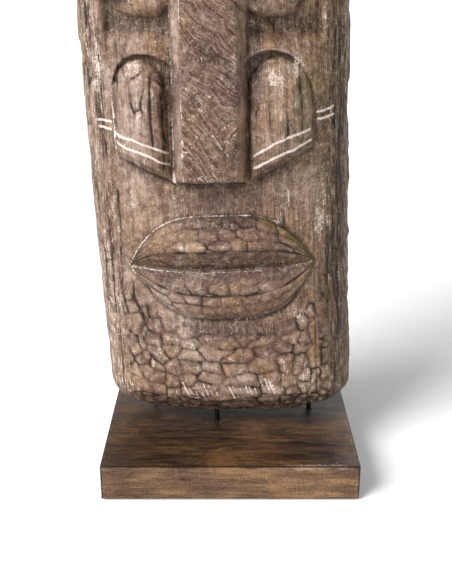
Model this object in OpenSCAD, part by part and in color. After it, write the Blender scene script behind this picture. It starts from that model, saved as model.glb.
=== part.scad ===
// Carved wooden tiki figure that stands on three steel pins above a mitred box plinth.
// Millimetres, +Z up, face towards -Y, origin at the middle of the plinth's underside.

/* [Plinth] */
// Width of the plinth along X
plinth_w = 300; // [280:5:340]
// Depth of the plinth along Y
plinth_d = 300; // [280:5:340]
// Height of the plinth with its felt
plinth_h = 45; // [40:1:60]
// Thickness of the plinth's boards
board_t = 15; // [12:1:18]
// Thickness of the plywood that closes the plinth from below
panel_t = 4; // [3:0.5:6]
// Thickness of the felt under the plinth
felt_t = 2; // [1:0.5:3]
// How far the felt stays in from the plinth's sides
felt_inset = 4; // [2:1:10]

/* [Pins] */
// Diameter of the three steel pins
pin_d = 6; // [5:0.5:8]
// Clear height between the plinth and the figure
lift_gap = 25; // [15:1:35]
// How far the pins reach up into the figure
pin_in_figure = 70; // [50:5:90]
// Extra radius of the holes that the figure slides on
pin_play = 0.1; // [0.05:0.05:0.3]

/* [Figure] */
// Height of the carved figure alone
figure_h = 930; // [900:10:960]
// Half the figure's width at the face
half_w = 149; // [140:1:155]
// Depth from the widest line forward to the face
front_depth = 62; // [55:1:70]
// Depth from the widest line back to the rear
back_depth = 72; // [60:1:80]
// How far the log leans to the figure's right at the top
lean = 24.5; // [0:0.5:30]

/* [Face] */
// Height of the nose above the face at its tip
nose_rise = 26; // [18:1:32]
// Height of the lips above the face at their ridge
lip_rise = 15; // [8:1:20]
// Height of the cheeks above the face
cheek_rise = 13; // [6:1:18]
// Height of the brows above the face
brow_rise = 17; // [10:1:24]

/* [Hidden] */

round_fn = 48;

// Levels of the plinth, from the floor up.
panel_z = felt_t;
cavity_z = panel_z + panel_t;
cavity_top = plinth_h - board_t;
cavity_h = cavity_top - cavity_z;
cavity_w = plinth_w - 2 * board_t;
cavity_d = plinth_d - 2 * board_t;

// Pins: where they stand, and where their ends are.
pin_places = [[-16, -38], [102, -6], [-96, 28]];
pin_foot_z = cavity_z + 6;
pin_top_z = plinth_h + lift_gap + pin_in_figure;
pin_tip = 1.2;

// The block under the top board that holds the pins, and its screws.
block_size = [250, 120, cavity_h];
block_screw_places = [[-112, -48], [112, -48], [-112, 48], [112, 48]];
block_screw_len = cavity_h + 9;
corner_leg = 34;
corner_screw_in = 11;
panel_screw_len = 20;
panel_block_places = [[-60, -48], [60, -48], [-60, 48], [60, 48]];
screw_r = 1.75;
screw_head_r = 3.6;
screw_head_h = 2.2;

// ---- plinth ---------------------------------------------------------------------------------

// Countersunk wood screw that points up, with its head's flat face at z = 0.
module screw(len) {
    cylinder(h = screw_head_h, r1 = screw_head_r, r2 = screw_r, $fn = round_fn);
    translate([0, 0, screw_head_h])
        cylinder(h = len - screw_head_h - 2.5, r = screw_r, $fn = round_fn);
    translate([0, 0, len - 2.5])
        cylinder(h = 2.5, r1 = screw_r, r2 = 0.4, $fn = round_fn);
}

module all_block_screws() {
    for (p = block_screw_places)
        translate([p[0], p[1], cavity_z]) screw(block_screw_len);
}

module all_panel_screws() {
    for (p = concat(panel_block_places, corner_screw_places()))
        translate([p[0], p[1], panel_z]) screw(panel_screw_len);
}

function corner_screw_places() =
    [for (sx = [-1, 1], sy = [-1, 1])
        [sx * (cavity_w / 2 - corner_screw_in), sy * (cavity_d / 2 - corner_screw_in)]];

module pin_holes(r, z0, z1) {
    for (p = pin_places)
        translate([p[0], p[1], z0]) cylinder(h = z1 - z0, r = r, $fn = round_fn);
}

// Outline of a board with 45 degree ends: long edge outside, short edge inside.
module mitred_outline(length, t) {
    polygon([[-length / 2, 0], [length / 2, 0], [length / 2 - t, t], [-length / 2 + t, t]]);
}

// Section of a side board: square foot, 45 degree mitre at its top edge.
module side_section() {
    polygon([[0, panel_z], [0, plinth_h], [board_t, plinth_h - board_t], [board_t, panel_z]]);
}

// Side board along X, with its outer face at y = 0 and its thickness towards +Y.
module side_board(length) {
    intersection() {
        translate([0, 0, panel_z]) linear_extrude(height = plinth_h - panel_z)
            mitred_outline(length, board_t);
        translate([-length / 2, 0, 0]) rotate([90, 0, 90]) linear_extrude(height = length)
            side_section();
    }
}

module front_board() {
    color("#8a6a4f") translate([0, -plinth_d / 2, 0]) side_board(plinth_w);
}

module back_board() {
    color("#8a6a4f") translate([0, plinth_d / 2, 0]) rotate([0, 0, 180]) side_board(plinth_w);
}

module left_board() {
    color("#7d5f47") translate([-plinth_w / 2, 0, 0]) rotate([0, 0, -90]) side_board(plinth_d);
}

module right_board() {
    color("#7d5f47") translate([plinth_w / 2, 0, 0]) rotate([0, 0, 90]) side_board(plinth_d);
}

// Top board, mitred on all four edges, so that its lower face is one board smaller all round.
module top_blank() {
    intersection() {
        translate([-plinth_w / 2, 0, 0]) rotate([90, 0, 90]) linear_extrude(height = plinth_w)
            top_section(plinth_d);
        translate([0, plinth_d / 2, 0]) rotate([90, 0, 0]) linear_extrude(height = plinth_d)
            top_section(plinth_w);
    }
}

module top_section(width) {
    polygon([[-width / 2, plinth_h], [width / 2, plinth_h],
             [width / 2 - board_t, cavity_top], [-width / 2 + board_t, cavity_top]]);
}

module top_board() {
    color("#6b5140") difference() {
        top_blank();
        pin_holes(pin_d / 2, cavity_top - 1, plinth_h + 1);
        all_block_screws();
    }
}

module pin_block() {
    color("#a98a63") difference() {
        translate([-block_size[0] / 2, -block_size[1] / 2, cavity_z]) cube(block_size);
        pin_holes(pin_d / 2, pin_foot_z, cavity_top + 1);
        all_block_screws();
        all_panel_screws();
    }
}

// Three-cornered glue block in one inner corner of the plinth.
module corner_block(i) {
    sx = i % 2 == 1 ? -1 : 1;
    sy = i <= 2 ? -1 : 1;
    color("#b59a72") difference() {
        translate([sx * cavity_w / 2, sy * cavity_d / 2, cavity_z]) linear_extrude(height = cavity_h)
            polygon([[0, 0], [-sx * corner_leg, 0], [0, -sy * corner_leg]]);
        all_panel_screws();
    }
}

module bottom_panel() {
    color("#c2a77c") difference() {
        translate([-cavity_w / 2, -cavity_d / 2, panel_z]) cube([cavity_w, cavity_d, panel_t]);
        all_panel_screws();
    }
}

module felt_sheet() {
    w = plinth_w - 2 * felt_inset;
    d = plinth_d - 2 * felt_inset;
    color("#2b2a28") translate([-w / 2, -d / 2, 0]) cube([w, d, felt_t]);
}

module block_screws() {
    color("silver") all_block_screws();
}

module panel_screws() {
    color("silver") all_panel_screws();
}

// ---- pins -----------------------------------------------------------------------------------

// Plain steel rod with both ends bevelled, driven into the plinth.
module pin(i) {
    r = pin_d / 2;
    color("#1d1b1a") translate([pin_places[i][0], pin_places[i][1], 0]) {
        translate([0, 0, pin_foot_z]) cylinder(h = pin_tip, r1 = r - 0.8, r2 = r, $fn = round_fn);
        translate([0, 0, pin_foot_z + pin_tip])
            cylinder(h = pin_top_z - pin_foot_z - 2 * pin_tip, r = r, $fn = round_fn);
        translate([0, 0, pin_top_z - pin_tip]) cylinder(h = pin_tip, r1 = r, r2 = r - 0.8, $fn = round_fn);
    }
}

module front_pin() { pin(0); }
module right_pin() { pin(1); }
module left_pin() { pin(2); }

// ---- figure ---------------------------------------------------------------------------------
// The figure is a log of rounded sections, one above the other, and its face is carved into the
// front of each. Heights h are measured from the plinth's top, and x from the log's own middle.

figure_foot = lift_gap;
figure_top = lift_gap + figure_h;
widest_y = -10;
foot_round = 26;
crown_round = 56;

// Smooth step from 0 at a to 1 at b.
function ramp(a, b, v) = let (t = max(0, min(1, (v - a) / (b - a)))) t * t * (3 - 2 * t);
// Quarter round: 1 at the foot of a rounding of height r, 0 where it ends.
function quarter(v, r) = v >= r ? 0 : 1 - sqrt(max(0, 1 - pow(1 - max(0, v) / r, 2)));
function signed_pow(v, p) = sign(v) * pow(abs(v), p);

// Middle of the log at a height: it bows gently to one side.
function log_x(h) = -lean * (1 - pow((h - 900) / 840, 2));
function taper(h) = 1 - 0.11 * ramp(620, figure_top, h);
function log_half(h) = half_w * taper(h) - 33 * quarter(h - figure_foot, foot_round)
    - 62 * quarter(figure_top - h, crown_round);
function log_front(h) = front_depth - 16 * quarter(h - figure_foot, foot_round)
    - 22 * quarter(figure_top - h, crown_round);
function log_back(h) = back_depth - 10 * quarter(h - figure_foot, foot_round)
    - 24 * quarter(figure_top - h, crown_round);

// Nose: a long flat-topped wedge with sloping sides, cut off square at its tip.
nose_x = -7.6;
nose_front = 27;
nose_root = 39;
nose_tip = 314;
nose_end = 585;
nose_tip_cut = 3;
function nose(x, h) = (nose_rise - 8 * ramp(nose_tip, nose_end, h))
    * (1 - ramp(nose_front, nose_root, abs(x - nose_x)))
    * ramp(nose_tip - nose_tip_cut, nose_tip + nose_tip_cut, h) * (1 - ramp(nose_end, nose_end + 40, h));

// A lens is an outline that runs to a point at both sides: its upper and lower edge, as heights
// above and below its slit, at a share u of its half-width.
function lens_up(u, up) = up * (1 - pow(min(1, abs(u)), 3));
function lens_down(u, down) = down * (1 - pow(min(1, abs(u)), 2.8));

// Rise of a lens at a height v above its slit: up from the outline to a ridge, and down to the slit.
lens_ridge = 0.5;
function lens_rise(u, v, up, down, rise) = let (
        edge = max(0.1, v >= 0 ? lens_up(u, up) : lens_down(u, down)),
        share = abs(u) >= 1 ? 1 : abs(v) / edge,
        swell = 1 - 0.7 * pow(min(1, abs(u)), 2))
    share >= 1 ? 0
    : rise * swell * (share > lens_ridge ? pow((1 - share) / (1 - lens_ridge), 0.7)
                      : 0.3 + 0.7 * share / lens_ridge);

mouth_x = -1.9;
mouth_h = 216;
mouth_half = 107;
mouth_up = 59;
mouth_down = 65;
function mouth(x, h) = lens_rise((x - mouth_x) / mouth_half, h - mouth_h, mouth_up, mouth_down, lip_rise);

// Cheeks: tablets with a round head on both sides of the nose. Each is sunk under its head, swells
// towards its foot and ends in a slanting lower edge. Each row: middle, half-width, side.
cheeks = [[nose_x - nose_root - 32.5, 32.5, -1], [nose_x + nose_root + 37.7, 37.7, 1]];
cheek_head_h = 453;
cheek_foot_h = 309;
cheek_sunk = 7;
function cheek_foot(c, x) = cheek_foot_h + 0.51 * max(0, min(2 * c[1], c[2] * (x - c[0]) + c[1]));
function cheek_head(c, x) = cheek_head_h
    - 40 * (1 - sqrt(max(0, 1 - pow(min(1, abs(x - c[0]) / c[1]), 2))));
function cheek(c, x, h) = let (
        u = (x - c[0]) / c[1],
        along = ramp(0, 62, cheek_head(c, x) - h),
        across = sqrt(max(0, 1 - u * u)))
    abs(u) >= 1 || h <= cheek_foot(c, x) || h >= cheek_head(c, x) ? 0
    : cheek_rise * (0.3 + 0.7 * across) * along - cheek_sunk * (1 - along);

// Eyes: half-closed lenses in one hollow on each side, under the brow.
eyes = [-76, 61];
eye_half = 43;
eye_h = 514;
eye_up = 27;
eye_down = 25;
eye_sunk = 12;
function eye(x, h) = lens_rise((x - (x < nose_x ? eyes[0] : eyes[1])) / eye_half, h - eye_h,
                               eye_up, eye_down, eye_sunk + 3);
function eye_hollow(x, h) = -eye_sunk * (1 - ramp(34, 54, abs(h - eye_h)))
    * ramp(nose_root, nose_root + 6, abs(x - nose_x)) * (1 - ramp(112, 124, abs(x)));

// Brow: one thick bar over both eyes that droops towards the sides.
brow_h = 604;
brow_half = 15;
function brow_droop(x) = 0.0016 * pow(min(125, abs(x - nose_x)), 2);
function brow(x, h) = brow_rise * (1 - ramp(brow_half - 4, brow_half + 11, abs(h + brow_droop(x) - brow_h)))
    * (1 - ramp(117, 136, abs(x)));

// Headband, and upright flutes above it.
band_low = 668;
band_high = 726;
band_edge = 4;
flute_pitch = 38;
function band(h) = 7 * ramp(band_low - band_edge, band_low + band_edge, h)
    * (1 - ramp(band_high - band_edge, band_high + band_edge, h));
function flutes(x, h) = -2.6 * (1 - cos(360 * (x - nose_x) / flute_pitch))
    * ramp(band_high + 8, band_high + 24, h) * (1 - ramp(100, 128, abs(x)));

function face_rise(x, h) = nose(x, h) + mouth(x, h) + cheek(cheeks[0], x, h) + cheek(cheeks[1], x, h)
    + eye_hollow(x, h) + eye(x, h) + brow(x, h) + band(h) + flutes(x, h);

// Shallow adzed hollow down the back.
function back_hollow(u, h) = 8 * (1 - ramp(0.35, 0.75, abs(u))) * ramp(60, 150, h) * (1 - ramp(800, 890, h));

// The sections bend to follow the carving: a level h runs at height carved_level(h, x) at x.
// Around a lens they follow its edge, and past its corners they part again.
function lens_level(edge, u, full) = max(edge, full * (0.15 + 0.45 * ramp(0.9, 1.3, abs(u))));
function cheek_slant(x) = x < nose_x ? cheek_foot(cheeks[0], x) : cheek_foot(cheeks[1], x);
function cheek_arch(x) = x < nose_x ? cheek_head(cheeks[0], x) : cheek_head(cheeks[1], x);
function eye_share(x) = (x - (x < nose_x ? eyes[0] : eyes[1])) / eye_half;
function carved_level(h, x) = let (m = (x - mouth_x) / mouth_half, e = eye_share(x)) lookup(h, [
    [figure_foot, figure_foot], [110, 110],
    [mouth_h - mouth_down, mouth_h - lens_level(lens_down(m, mouth_down), m, mouth_down)],
    [mouth_h, mouth_h],
    [mouth_h + mouth_up, mouth_h + lens_level(lens_up(m, mouth_up), m, mouth_up)],
    [cheek_foot_h, cheek_slant(x)],
    [380, 386],
    [cheek_head_h, cheek_arch(x)],
    [eye_h - eye_down, eye_h - lens_level(lens_down(e, eye_down), e, eye_down)],
    [eye_h, eye_h],
    [eye_h + eye_up, eye_h + lens_level(lens_up(e, eye_up), e, eye_up)],
    [brow_h - 26, brow_h - 26 - brow_droop(x)],
    [brow_h + 26, brow_h + 26 - brow_droop(x)],
    [band_low - band_edge, band_low - band_edge],
    [figure_top, figure_top]]);

// Stations across the face at full width, then round the sides and the back.
face_stations = [-125, -118, -112.7, -109.5, -103, -93, -83, -73, -63, -54, nose_x - nose_root,
                 nose_x - nose_front, -21, nose_x, 6, nose_x + nose_front, nose_x + nose_root,
                 39, 48, 58, 69, 80, 91, 100, 105.3, 108.3, 116, 125];
side_angles = [16, 8, 0];
back_angles = [12, 28, 48, 68, 90, 112, 132, 152, 168];
front_pow = 1 / 2.3;
back_pow = 1 / 3.5;

function front_point(u, level) = let (
        h = carved_level(level, u * half_w),
        x = u * log_half(h),
        y = widest_y - log_front(h) * pow(max(0, 1 - pow(abs(u), 1 / front_pow)), front_pow))
    [log_x(h) + x, y - face_rise(x, h) * ramp(0, 30, h - figure_foot), plinth_h + h];
function side_point(side, a, level) = front_point(side * pow(cos(a), 2 * front_pow), level);
function back_point(a, h) = let (
        u = signed_pow(cos(a), 2 * back_pow),
        y = widest_y + log_back(h) * pow(sin(a), 2 * back_pow) - back_hollow(u, h))
    [log_x(h) + u * log_half(h), y, plinth_h + h];

// One closed section, counter-clockwise from above, starting at the figure's right (low x).
function section(level) = concat(
    [for (i = [2, 1, 0]) side_point(-1, side_angles[i], level)],
    [for (x = face_stations) front_point(x / half_w, level)],
    [for (a = side_angles) side_point(1, a, level)],
    [for (a = back_angles) back_point(a, level)]);

// Levels of the sections, close together at both rounded ends and at the carving's edges.
function spread(a, b, n) = [for (i = [0 : n - 1]) a + (b - a) * i / n];
levels = concat(
    [for (a = [0, 18, 36, 54, 72]) figure_foot + foot_round * (1 - cos(a))],
    spread(figure_foot + foot_round, mouth_h - mouth_down, 8),
    spread(mouth_h - mouth_down, mouth_h, 8),
    spread(mouth_h, mouth_h + mouth_up, 8),
    spread(mouth_h + mouth_up, cheek_foot_h, 3),
    [cheek_foot_h, cheek_foot_h + 1, nose_tip + nose_tip_cut, nose_tip + 12],
    spread(nose_tip + 22, cheek_head_h, 10),
    [cheek_head_h, cheek_head_h + 2],
    spread(cheek_head_h + 12, eye_h - eye_down, 2),
    spread(eye_h - eye_down, eye_h, 6),
    spread(eye_h, eye_h + eye_up, 6),
    spread(eye_h + eye_up, brow_h - 26, 4),
    spread(brow_h - 26, brow_h + 26, 8),
    spread(brow_h + 26, band_low - band_edge, 3),
    [band_low - band_edge, band_low, band_low + band_edge, 688, 706],
    [band_high - band_edge, band_high, band_high + band_edge, band_high + 10, band_high + 20],
    spread(band_high + 34, figure_top - crown_round, 7),
    [for (a = [90, 70, 50, 32, 16, 4]) figure_top - crown_round * (1 - cos(a))]);

module figure_blank() {
    rings = [for (h = levels) section(h)];
    n = len(rings[0]);
    m = len(rings);
    points = [for (ring = rings) each ring];
    sides = [for (i = [0 : m - 2], j = [0 : n - 1]) let (k = (j + 1) % n)
        each [[i * n + j, (i + 1) * n + j, (i + 1) * n + k], [i * n + j, (i + 1) * n + k, i * n + k]]];
    foot = [for (j = [0 : n - 1]) j];
    crown = [for (j = [n - 1 : -1 : 0]) (m - 1) * n + j];
    polyhedron(points = points, faces = concat([foot], sides, [crown]));
}

module carved_figure() {
    color("#8f735c") difference() {
        figure_blank();
        pin_holes(pin_d / 2 + pin_play, plinth_h + figure_foot - 5, pin_top_z);
    }
}

// ---- assembly -------------------------------------------------------------------------------

carved_figure();
front_pin();
right_pin();
left_pin();
top_board();
front_board();
back_board();
left_board();
right_board();
pin_block();
for (i = [1 : 4])
    corner_block(i);
bottom_panel();
felt_sheet();
block_screws();
panel_screws();
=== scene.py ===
"""Looks of a carved wooden tiki figure that stands on steel pins above a mitred plinth."""
import logging
import math
from dataclasses import dataclass, field
from enum import Enum
from functools import reduce

import bmesh
import bpy
import numpy as np
from mathutils import Matrix, Vector


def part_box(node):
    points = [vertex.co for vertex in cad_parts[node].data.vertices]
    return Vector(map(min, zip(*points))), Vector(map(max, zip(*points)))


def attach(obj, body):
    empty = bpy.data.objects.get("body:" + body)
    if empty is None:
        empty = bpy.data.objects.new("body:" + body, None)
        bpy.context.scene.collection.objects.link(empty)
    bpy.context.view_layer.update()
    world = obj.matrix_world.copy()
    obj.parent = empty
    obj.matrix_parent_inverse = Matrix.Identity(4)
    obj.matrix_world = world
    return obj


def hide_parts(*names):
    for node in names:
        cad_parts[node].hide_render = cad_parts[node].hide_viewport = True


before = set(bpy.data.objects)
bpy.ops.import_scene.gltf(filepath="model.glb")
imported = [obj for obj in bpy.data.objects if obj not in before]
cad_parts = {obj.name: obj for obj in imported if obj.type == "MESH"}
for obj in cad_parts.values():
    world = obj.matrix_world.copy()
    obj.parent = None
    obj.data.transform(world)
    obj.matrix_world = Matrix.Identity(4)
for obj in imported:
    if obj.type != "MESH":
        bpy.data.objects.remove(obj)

Array = np.ndarray
Socket = bpy.types.NodeSocket
Colour = tuple[float, float, float]
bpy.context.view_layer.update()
MM = 0.001
log = logging.getLogger("tiki")


# ---- small sums --------------------------------------------------------------------------------


def ramp(low: float, high: float, value: Array) -> Array:
    """Smooth step from 0 at low to 1 at high; low may be the larger one."""
    share = np.clip((value - low) / (high - low), 0.0, 1.0)
    return share * share * (3.0 - 2.0 * share)


def slope(low: float, high: float, value: Array) -> Array:
    """Straight step from 0 at low to 1 at high."""
    return np.clip((value - low) / (high - low), 0.0, 1.0)


def quarter(value: Array, radius: float) -> Array:
    """Quarter round: 1 at the foot of a rounding, 0 where it ends."""
    share = np.clip(value / radius, 0.0, 1.0)
    return 1.0 - np.sqrt(np.clip(1.0 - (1.0 - share) ** 2, 0.0, 1.0))


def bell(distance: Array, width: float) -> Array:
    """1 at no distance, falling to about a third at width."""
    return np.exp(-((distance / width) ** 2))


def mix(share: Array, a: Array, b: Array) -> Array:
    """Goes from a to b as share goes from 0 to 1."""
    return a + (b - a) * share


def linear(colour: Colour) -> Colour:
    """Turns a colour given as 0 to 255 screen values into linear light."""
    shares = [c / 255.0 for c in colour]
    return tuple(s / 12.92 if s <= 0.04045 else ((s + 0.055) / 1.055) ** 2.4 for s in shares)


def scatter(ix: Array, iy: Array, seed: int, period: int = 0) -> Array:
    """Repeatable random numbers from 0 to 1 at whole-number places.

    Args:
        ix, iy: the places.
        seed: which set of numbers.
        period: after how many steps of ix the numbers repeat, or 0 for never.

    Returns:
        Numbers from 0 to 1, in the shape of the places.
    """
    ix = np.mod(ix, period) if period else ix
    number = ix.astype(np.int64) * 374761393 + iy.astype(np.int64) * 668265263 + seed * 1274126177
    number = number.astype(np.uint64) & np.uint64(0xFFFFFFFF)
    for factor in (2246822519, 3266489917):
        number = (number ^ (number >> np.uint64(15))) * np.uint64(factor) & np.uint64(0xFFFFFFFF)
    return (number ^ (number >> np.uint64(16))) / 2.0**32


def drift(x: Array, y: Array, seed: int, period: int = 0) -> Array:
    """Smooth random values from -1 to 1, one bump per unit.

    Args:
        x, y: the places, in bumps.
        seed: which field.
        period: after how many bumps along x the field repeats, or 0 for never.

    Returns:
        The values.
    """
    ix, iy = np.floor(x), np.floor(y)
    fx, fy = x - ix, y - iy
    fx, fy = fx * fx * (3 - 2 * fx), fy * fy * (3 - 2 * fy)
    corners = [[scatter(ix + i, iy + j, seed, period) for i in (0, 1)] for j in (0, 1)]
    low, high = (mix(fx, row[0], row[1]) for row in corners)
    return 2.0 * mix(fy, low, high) - 1.0


def rough(x: Array, y: Array, seed: int, octaves: int = 4, period: int = 0) -> Array:
    """Several layers of drift, each twice as fine and half as strong, within about -1 to 1.

    Args:
        x, y: the places, in bumps of the first layer.
        seed: which field.
        octaves: how many layers.
        period: after how many bumps along x the field repeats, or 0 for never.

    Returns:
        The values.
    """
    total = np.zeros(np.broadcast(x, y).shape)
    for k in range(octaves):
        total += drift(x * 2**k, y * 2**k, seed + 31 * k, period * 2**k) / 2**k
    return total / 1.6


def net(u: Array, v: Array, wide: Array, tall: Array, seed: int, period: int = 0,
        stray: float = 0.8) -> tuple[Array, Array]:
    """Irregular cells that fill a surface, as in crackled wood.

    Args:
        u, v: places on the surface, counted in cells.
        wide, tall: size of a cell at each place, in millimetres.
        seed: which net.
        period: after how many cells along u the net repeats, or 0 for never.
        stray: how far cells stray up and down; little straying gives rows, as in brickwork.

    Returns:
        The distance to the nearest border in millimetres, and one random number per cell.
    """
    iu, iv = np.floor(u), np.floor(v)
    reach = range(-2, 3)
    spots = []
    for ju in reach:
        for jv in reach:
            cu, cv = iu + ju, iv + jv
            du = cu + 0.5 + 0.8 * (scatter(cu, cv, seed, period) - 0.5) - u
            dv = cv + 0.5 + stray * (scatter(cu, cv, seed + 1, period) - 0.5) - v
            spots.append((du, dv, scatter(cu, cv, seed + 2, period)))
    all_du, all_dv, tones = (np.stack([s[i] for s in spots]) for i in range(3))
    best = np.argmin(all_du**2 + all_dv**2, axis=0)[None]
    near_du, near_dv, tone = (np.take_along_axis(a, best, 0)[0] for a in (all_du, all_dv, tones))
    border = np.full(near_du.shape, 1e9)
    for du, dv in zip(all_du, all_dv):
        au, av = du - near_du, dv - near_dv
        steep = np.hypot(au / wide, av / tall)
        away = (0.5 * (du + near_du) * au + 0.5 * (dv + near_dv) * av) / np.maximum(steep, 1e-9)
        border = np.where(steep > 1e-6, np.minimum(border, away), border)
    return border, tone


def cells_along(x: Array, wide: Array) -> Array:
    """Counts cells from x = 0 where their width changes along the way.

    Args:
        x: places, in millimetres.
        wide: cell width at each whole millimetre from -200 to 200.

    Returns:
        The number of cells from x = 0 to each place.
    """
    line = np.arange(-200.0, 201.0)
    count = np.cumsum(1.0 / wide)
    return np.interp(x, line, count - count[200])


def stand_out(values: Array, reach: int) -> Array:
    """How far each point of a height map is above its neighbours; columns join up all the way round.

    Args:
        values: heights, by row and column.
        reach: how many points away a neighbour is.

    Returns:
        Height above the neighbours' mean.
    """
    padded = np.pad(values, ((reach, reach), (0, 0)), mode="edge")
    beside = np.roll(values, reach, 1) + np.roll(values, -reach, 1)
    return values - (padded[: -2 * reach] + padded[2 * reach:] + beside) / 4


def to_line(x: Array, y: Array, points: list[tuple[float, float]]) -> Array:
    """Distance to a line through a few points.

    Args:
        x, y: the places.
        points: the line's points, in order.

    Returns:
        The distance from each place.
    """
    nearest = np.full(np.shape(x), 1e9)
    for (x0, y0), (x1, y1) in zip(points, points[1:]):
        dx, dy = x1 - x0, y1 - y0
        along = np.clip(((x - x0) * dx + (y - y0) * dy) / (dx * dx + dy * dy), 0.0, 1.0)
        nearest = np.minimum(nearest, np.hypot(x - x0 - along * dx, y - y0 - along * dy))
    return nearest


# ---- materials ---------------------------------------------------------------------------------


class Graph:
    """A material's node tree, made by short calls that return sockets."""

    def __init__(self, name: str) -> None:
        """Starts an empty material.

        Args:
            name: the material's name.
        """
        self.material = bpy.data.materials.new(name)
        self.material.use_nodes = True
        self.tree = self.material.node_tree
        self.tree.nodes.clear()

    def node(self, kind: str, **settings: object) -> bpy.types.Node:
        """Adds a node and sets its own properties.

        Args:
            kind: the node's type, without the word that all shader nodes share.
            settings: its properties, by name.

        Returns:
            The node.
        """
        made = self.tree.nodes.new("ShaderNode" + kind)
        for key, value in settings.items():
            setattr(made, key, value)
        return made

    def put(self, socket: Socket, value: object) -> None:
        """Links a socket, or sets it where value is a number or a colour.

        Args:
            socket: the input.
            value: a socket, a number or a colour.
        """
        if isinstance(value, Socket):
            self.tree.links.new(value, socket)
        elif isinstance(value, tuple) and len(value) == 3 and socket.type == "RGBA":
            socket.default_value = (*value, 1.0)
        else:
            socket.default_value = value

    def attribute(self, name: str, output: str = "Fac") -> Socket:
        """Reads one of the mesh's own attributes."""
        return self.node("Attribute", attribute_name=name).outputs[output]

    def stretch(self, vector: Socket, scale: Colour, turn: Colour = (0.0, 0.0, 0.0)) -> Socket:
        """Turns and stretches a place.

        Args:
            vector: the place.
            scale, turn: by how much, along and about each axis.

        Returns:
            The new place.
        """
        mapping = self.node("Mapping")
        self.put(mapping.inputs["Vector"], vector)
        mapping.inputs["Scale"].default_value = scale
        mapping.inputs["Rotation"].default_value = turn
        return mapping.outputs["Vector"]

    def place(self, scale: Colour = (1.0, 1.0, 1.0), turn: Colour = (0.0, 0.0, 0.0)) -> Socket:
        """Place on the object, in metres, turned and stretched."""
        return self.stretch(self.node("TexCoord").outputs["Object"], scale, turn)

    def noise(self, vector: Socket, scale: float = 1.0, detail: float = 4.0,
              rough_share: float = 0.55, twist: float = 0.0) -> Socket:
        """Cloudy values from about 0.3 to 0.7.

        Args:
            vector: the place.
            scale, detail, rough_share, twist: the cloud's own settings.

        Returns:
            The cloud.
        """
        made = self.node("TexNoise")
        settings = {"Vector": vector, "Scale": scale, "Detail": detail, "Roughness": rough_share,
                    "Distortion": twist}
        for key, value in settings.items():
            self.put(made.inputs[key], value)
        return made.outputs["Fac"]

    def sums(self, operation: str, a: object, b: object) -> Socket:
        """One sum on two numbers.

        Args:
            operation: the sum's name in the Math node.
            a, b: sockets or numbers.

        Returns:
            The result.
        """
        made = self.node("Math", operation=operation)
        self.put(made.inputs[0], a)
        self.put(made.inputs[1], b)
        return made.outputs[0]

    def times(self, a: object, b: object) -> Socket:
        """Product of two numbers."""
        return self.sums("MULTIPLY", a, b)

    def total(self, *parts: object) -> Socket:
        """Sum of several numbers, from left to right."""
        return reduce(lambda a, b: self.sums("ADD", a, b), parts)

    def steps(self, value: object, low: float, high: float, to_low: float = 0.0,
              to_high: float = 1.0) -> Socket:
        """Smooth step of a value from low to high, given as to_low to to_high.

        Args:
            value: a socket or a number.
            low, high: where the step starts and ends.
            to_low, to_high: the result before and after it.

        Returns:
            The result.
        """
        made = self.node("MapRange", interpolation_type="SMOOTHSTEP")
        settings = {"Value": value, "From Min": low, "From Max": high, "To Min": to_low, "To Max": to_high}
        for key, item in settings.items():
            self.put(made.inputs[key], item)
        return made.outputs["Result"]

    def blend(self, share: object, a: object, b: object, way: str = "MIX") -> Socket:
        """Mixes two colours.

        Args:
            share: how much of b there is.
            a, b: the colours.
            way: the Mix node's way of mixing.

        Returns:
            The mixed colour.
        """
        made = self.node("Mix", data_type="RGBA", blend_type=way)
        for number, value in ((0, share), (6, a), (7, b)):
            self.put(made.inputs[number], value)
        return made.outputs[2]

    def cover(self, under: object, *coats: tuple[object, Colour]) -> Socket:
        """Lays coats of screen colours on a colour, each with its share."""
        return reduce(lambda colour, coat: self.blend(coat[0], colour, linear(coat[1])), coats, under)

    def shaded(self, colour: object, share: object, shade: Colour) -> Socket:
        """Darkens a colour towards itself times a screen colour."""
        return self.blend(share, colour, self.blend(1.0, colour, linear(shade), "MULTIPLY"))

    def ladder(self, value: object, stops: list[tuple[float, Colour]]) -> Socket:
        """Colours along a value; each stop is a place and a screen colour.

        Args:
            value: a socket from 0 to 1.
            stops: places and colours, in order.

        Returns:
            The colour.
        """
        made = self.node("ValToRGB")
        self.put(made.inputs[0], value)
        elements = made.color_ramp.elements
        while len(elements) < len(stops):
            elements.new(0.5)
        for element, (place, colour) in zip(elements, stops):
            element.position = place
            element.color = (*linear(colour), 1.0)
        return made.outputs["Color"]

    def bump(self, height: object, depth: float, strength: float) -> Socket:
        """Fine relief of a height from 0 to 1 that is depth metres high.

        Args:
            height: a socket from 0 to 1.
            depth: what a height of 1 stands for.
            strength: how much of the relief is used.

        Returns:
            The surface's direction.
        """
        made = self.node("Bump")
        made.inputs["Strength"].default_value = strength
        made.inputs["Distance"].default_value = depth
        self.put(made.inputs["Height"], height)
        return made.outputs["Normal"]

    def finish(self, colour: object, roughness: object, normal: object = None,
               **fixed: float) -> bpy.types.Material:
        """Closes the tree with one shader.

        Args:
            colour, roughness, normal: sockets or values of the surface.
            fixed: values that are the same all over, by the shader's own socket names.

        Returns:
            The finished material.
        """
        shader = self.node("BsdfPrincipled")
        self.put(shader.inputs["Base Color"], colour)
        self.put(shader.inputs["Roughness"], roughness)
        if normal is not None:
            self.put(shader.inputs["Normal"], normal)
        for key, value in fixed.items():
            shader.inputs[key.replace("_", " ")].default_value = value
        output = self.node("OutputMaterial")
        self.put(output.inputs["Surface"], shader.outputs["BSDF"])
        return self.material


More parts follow.
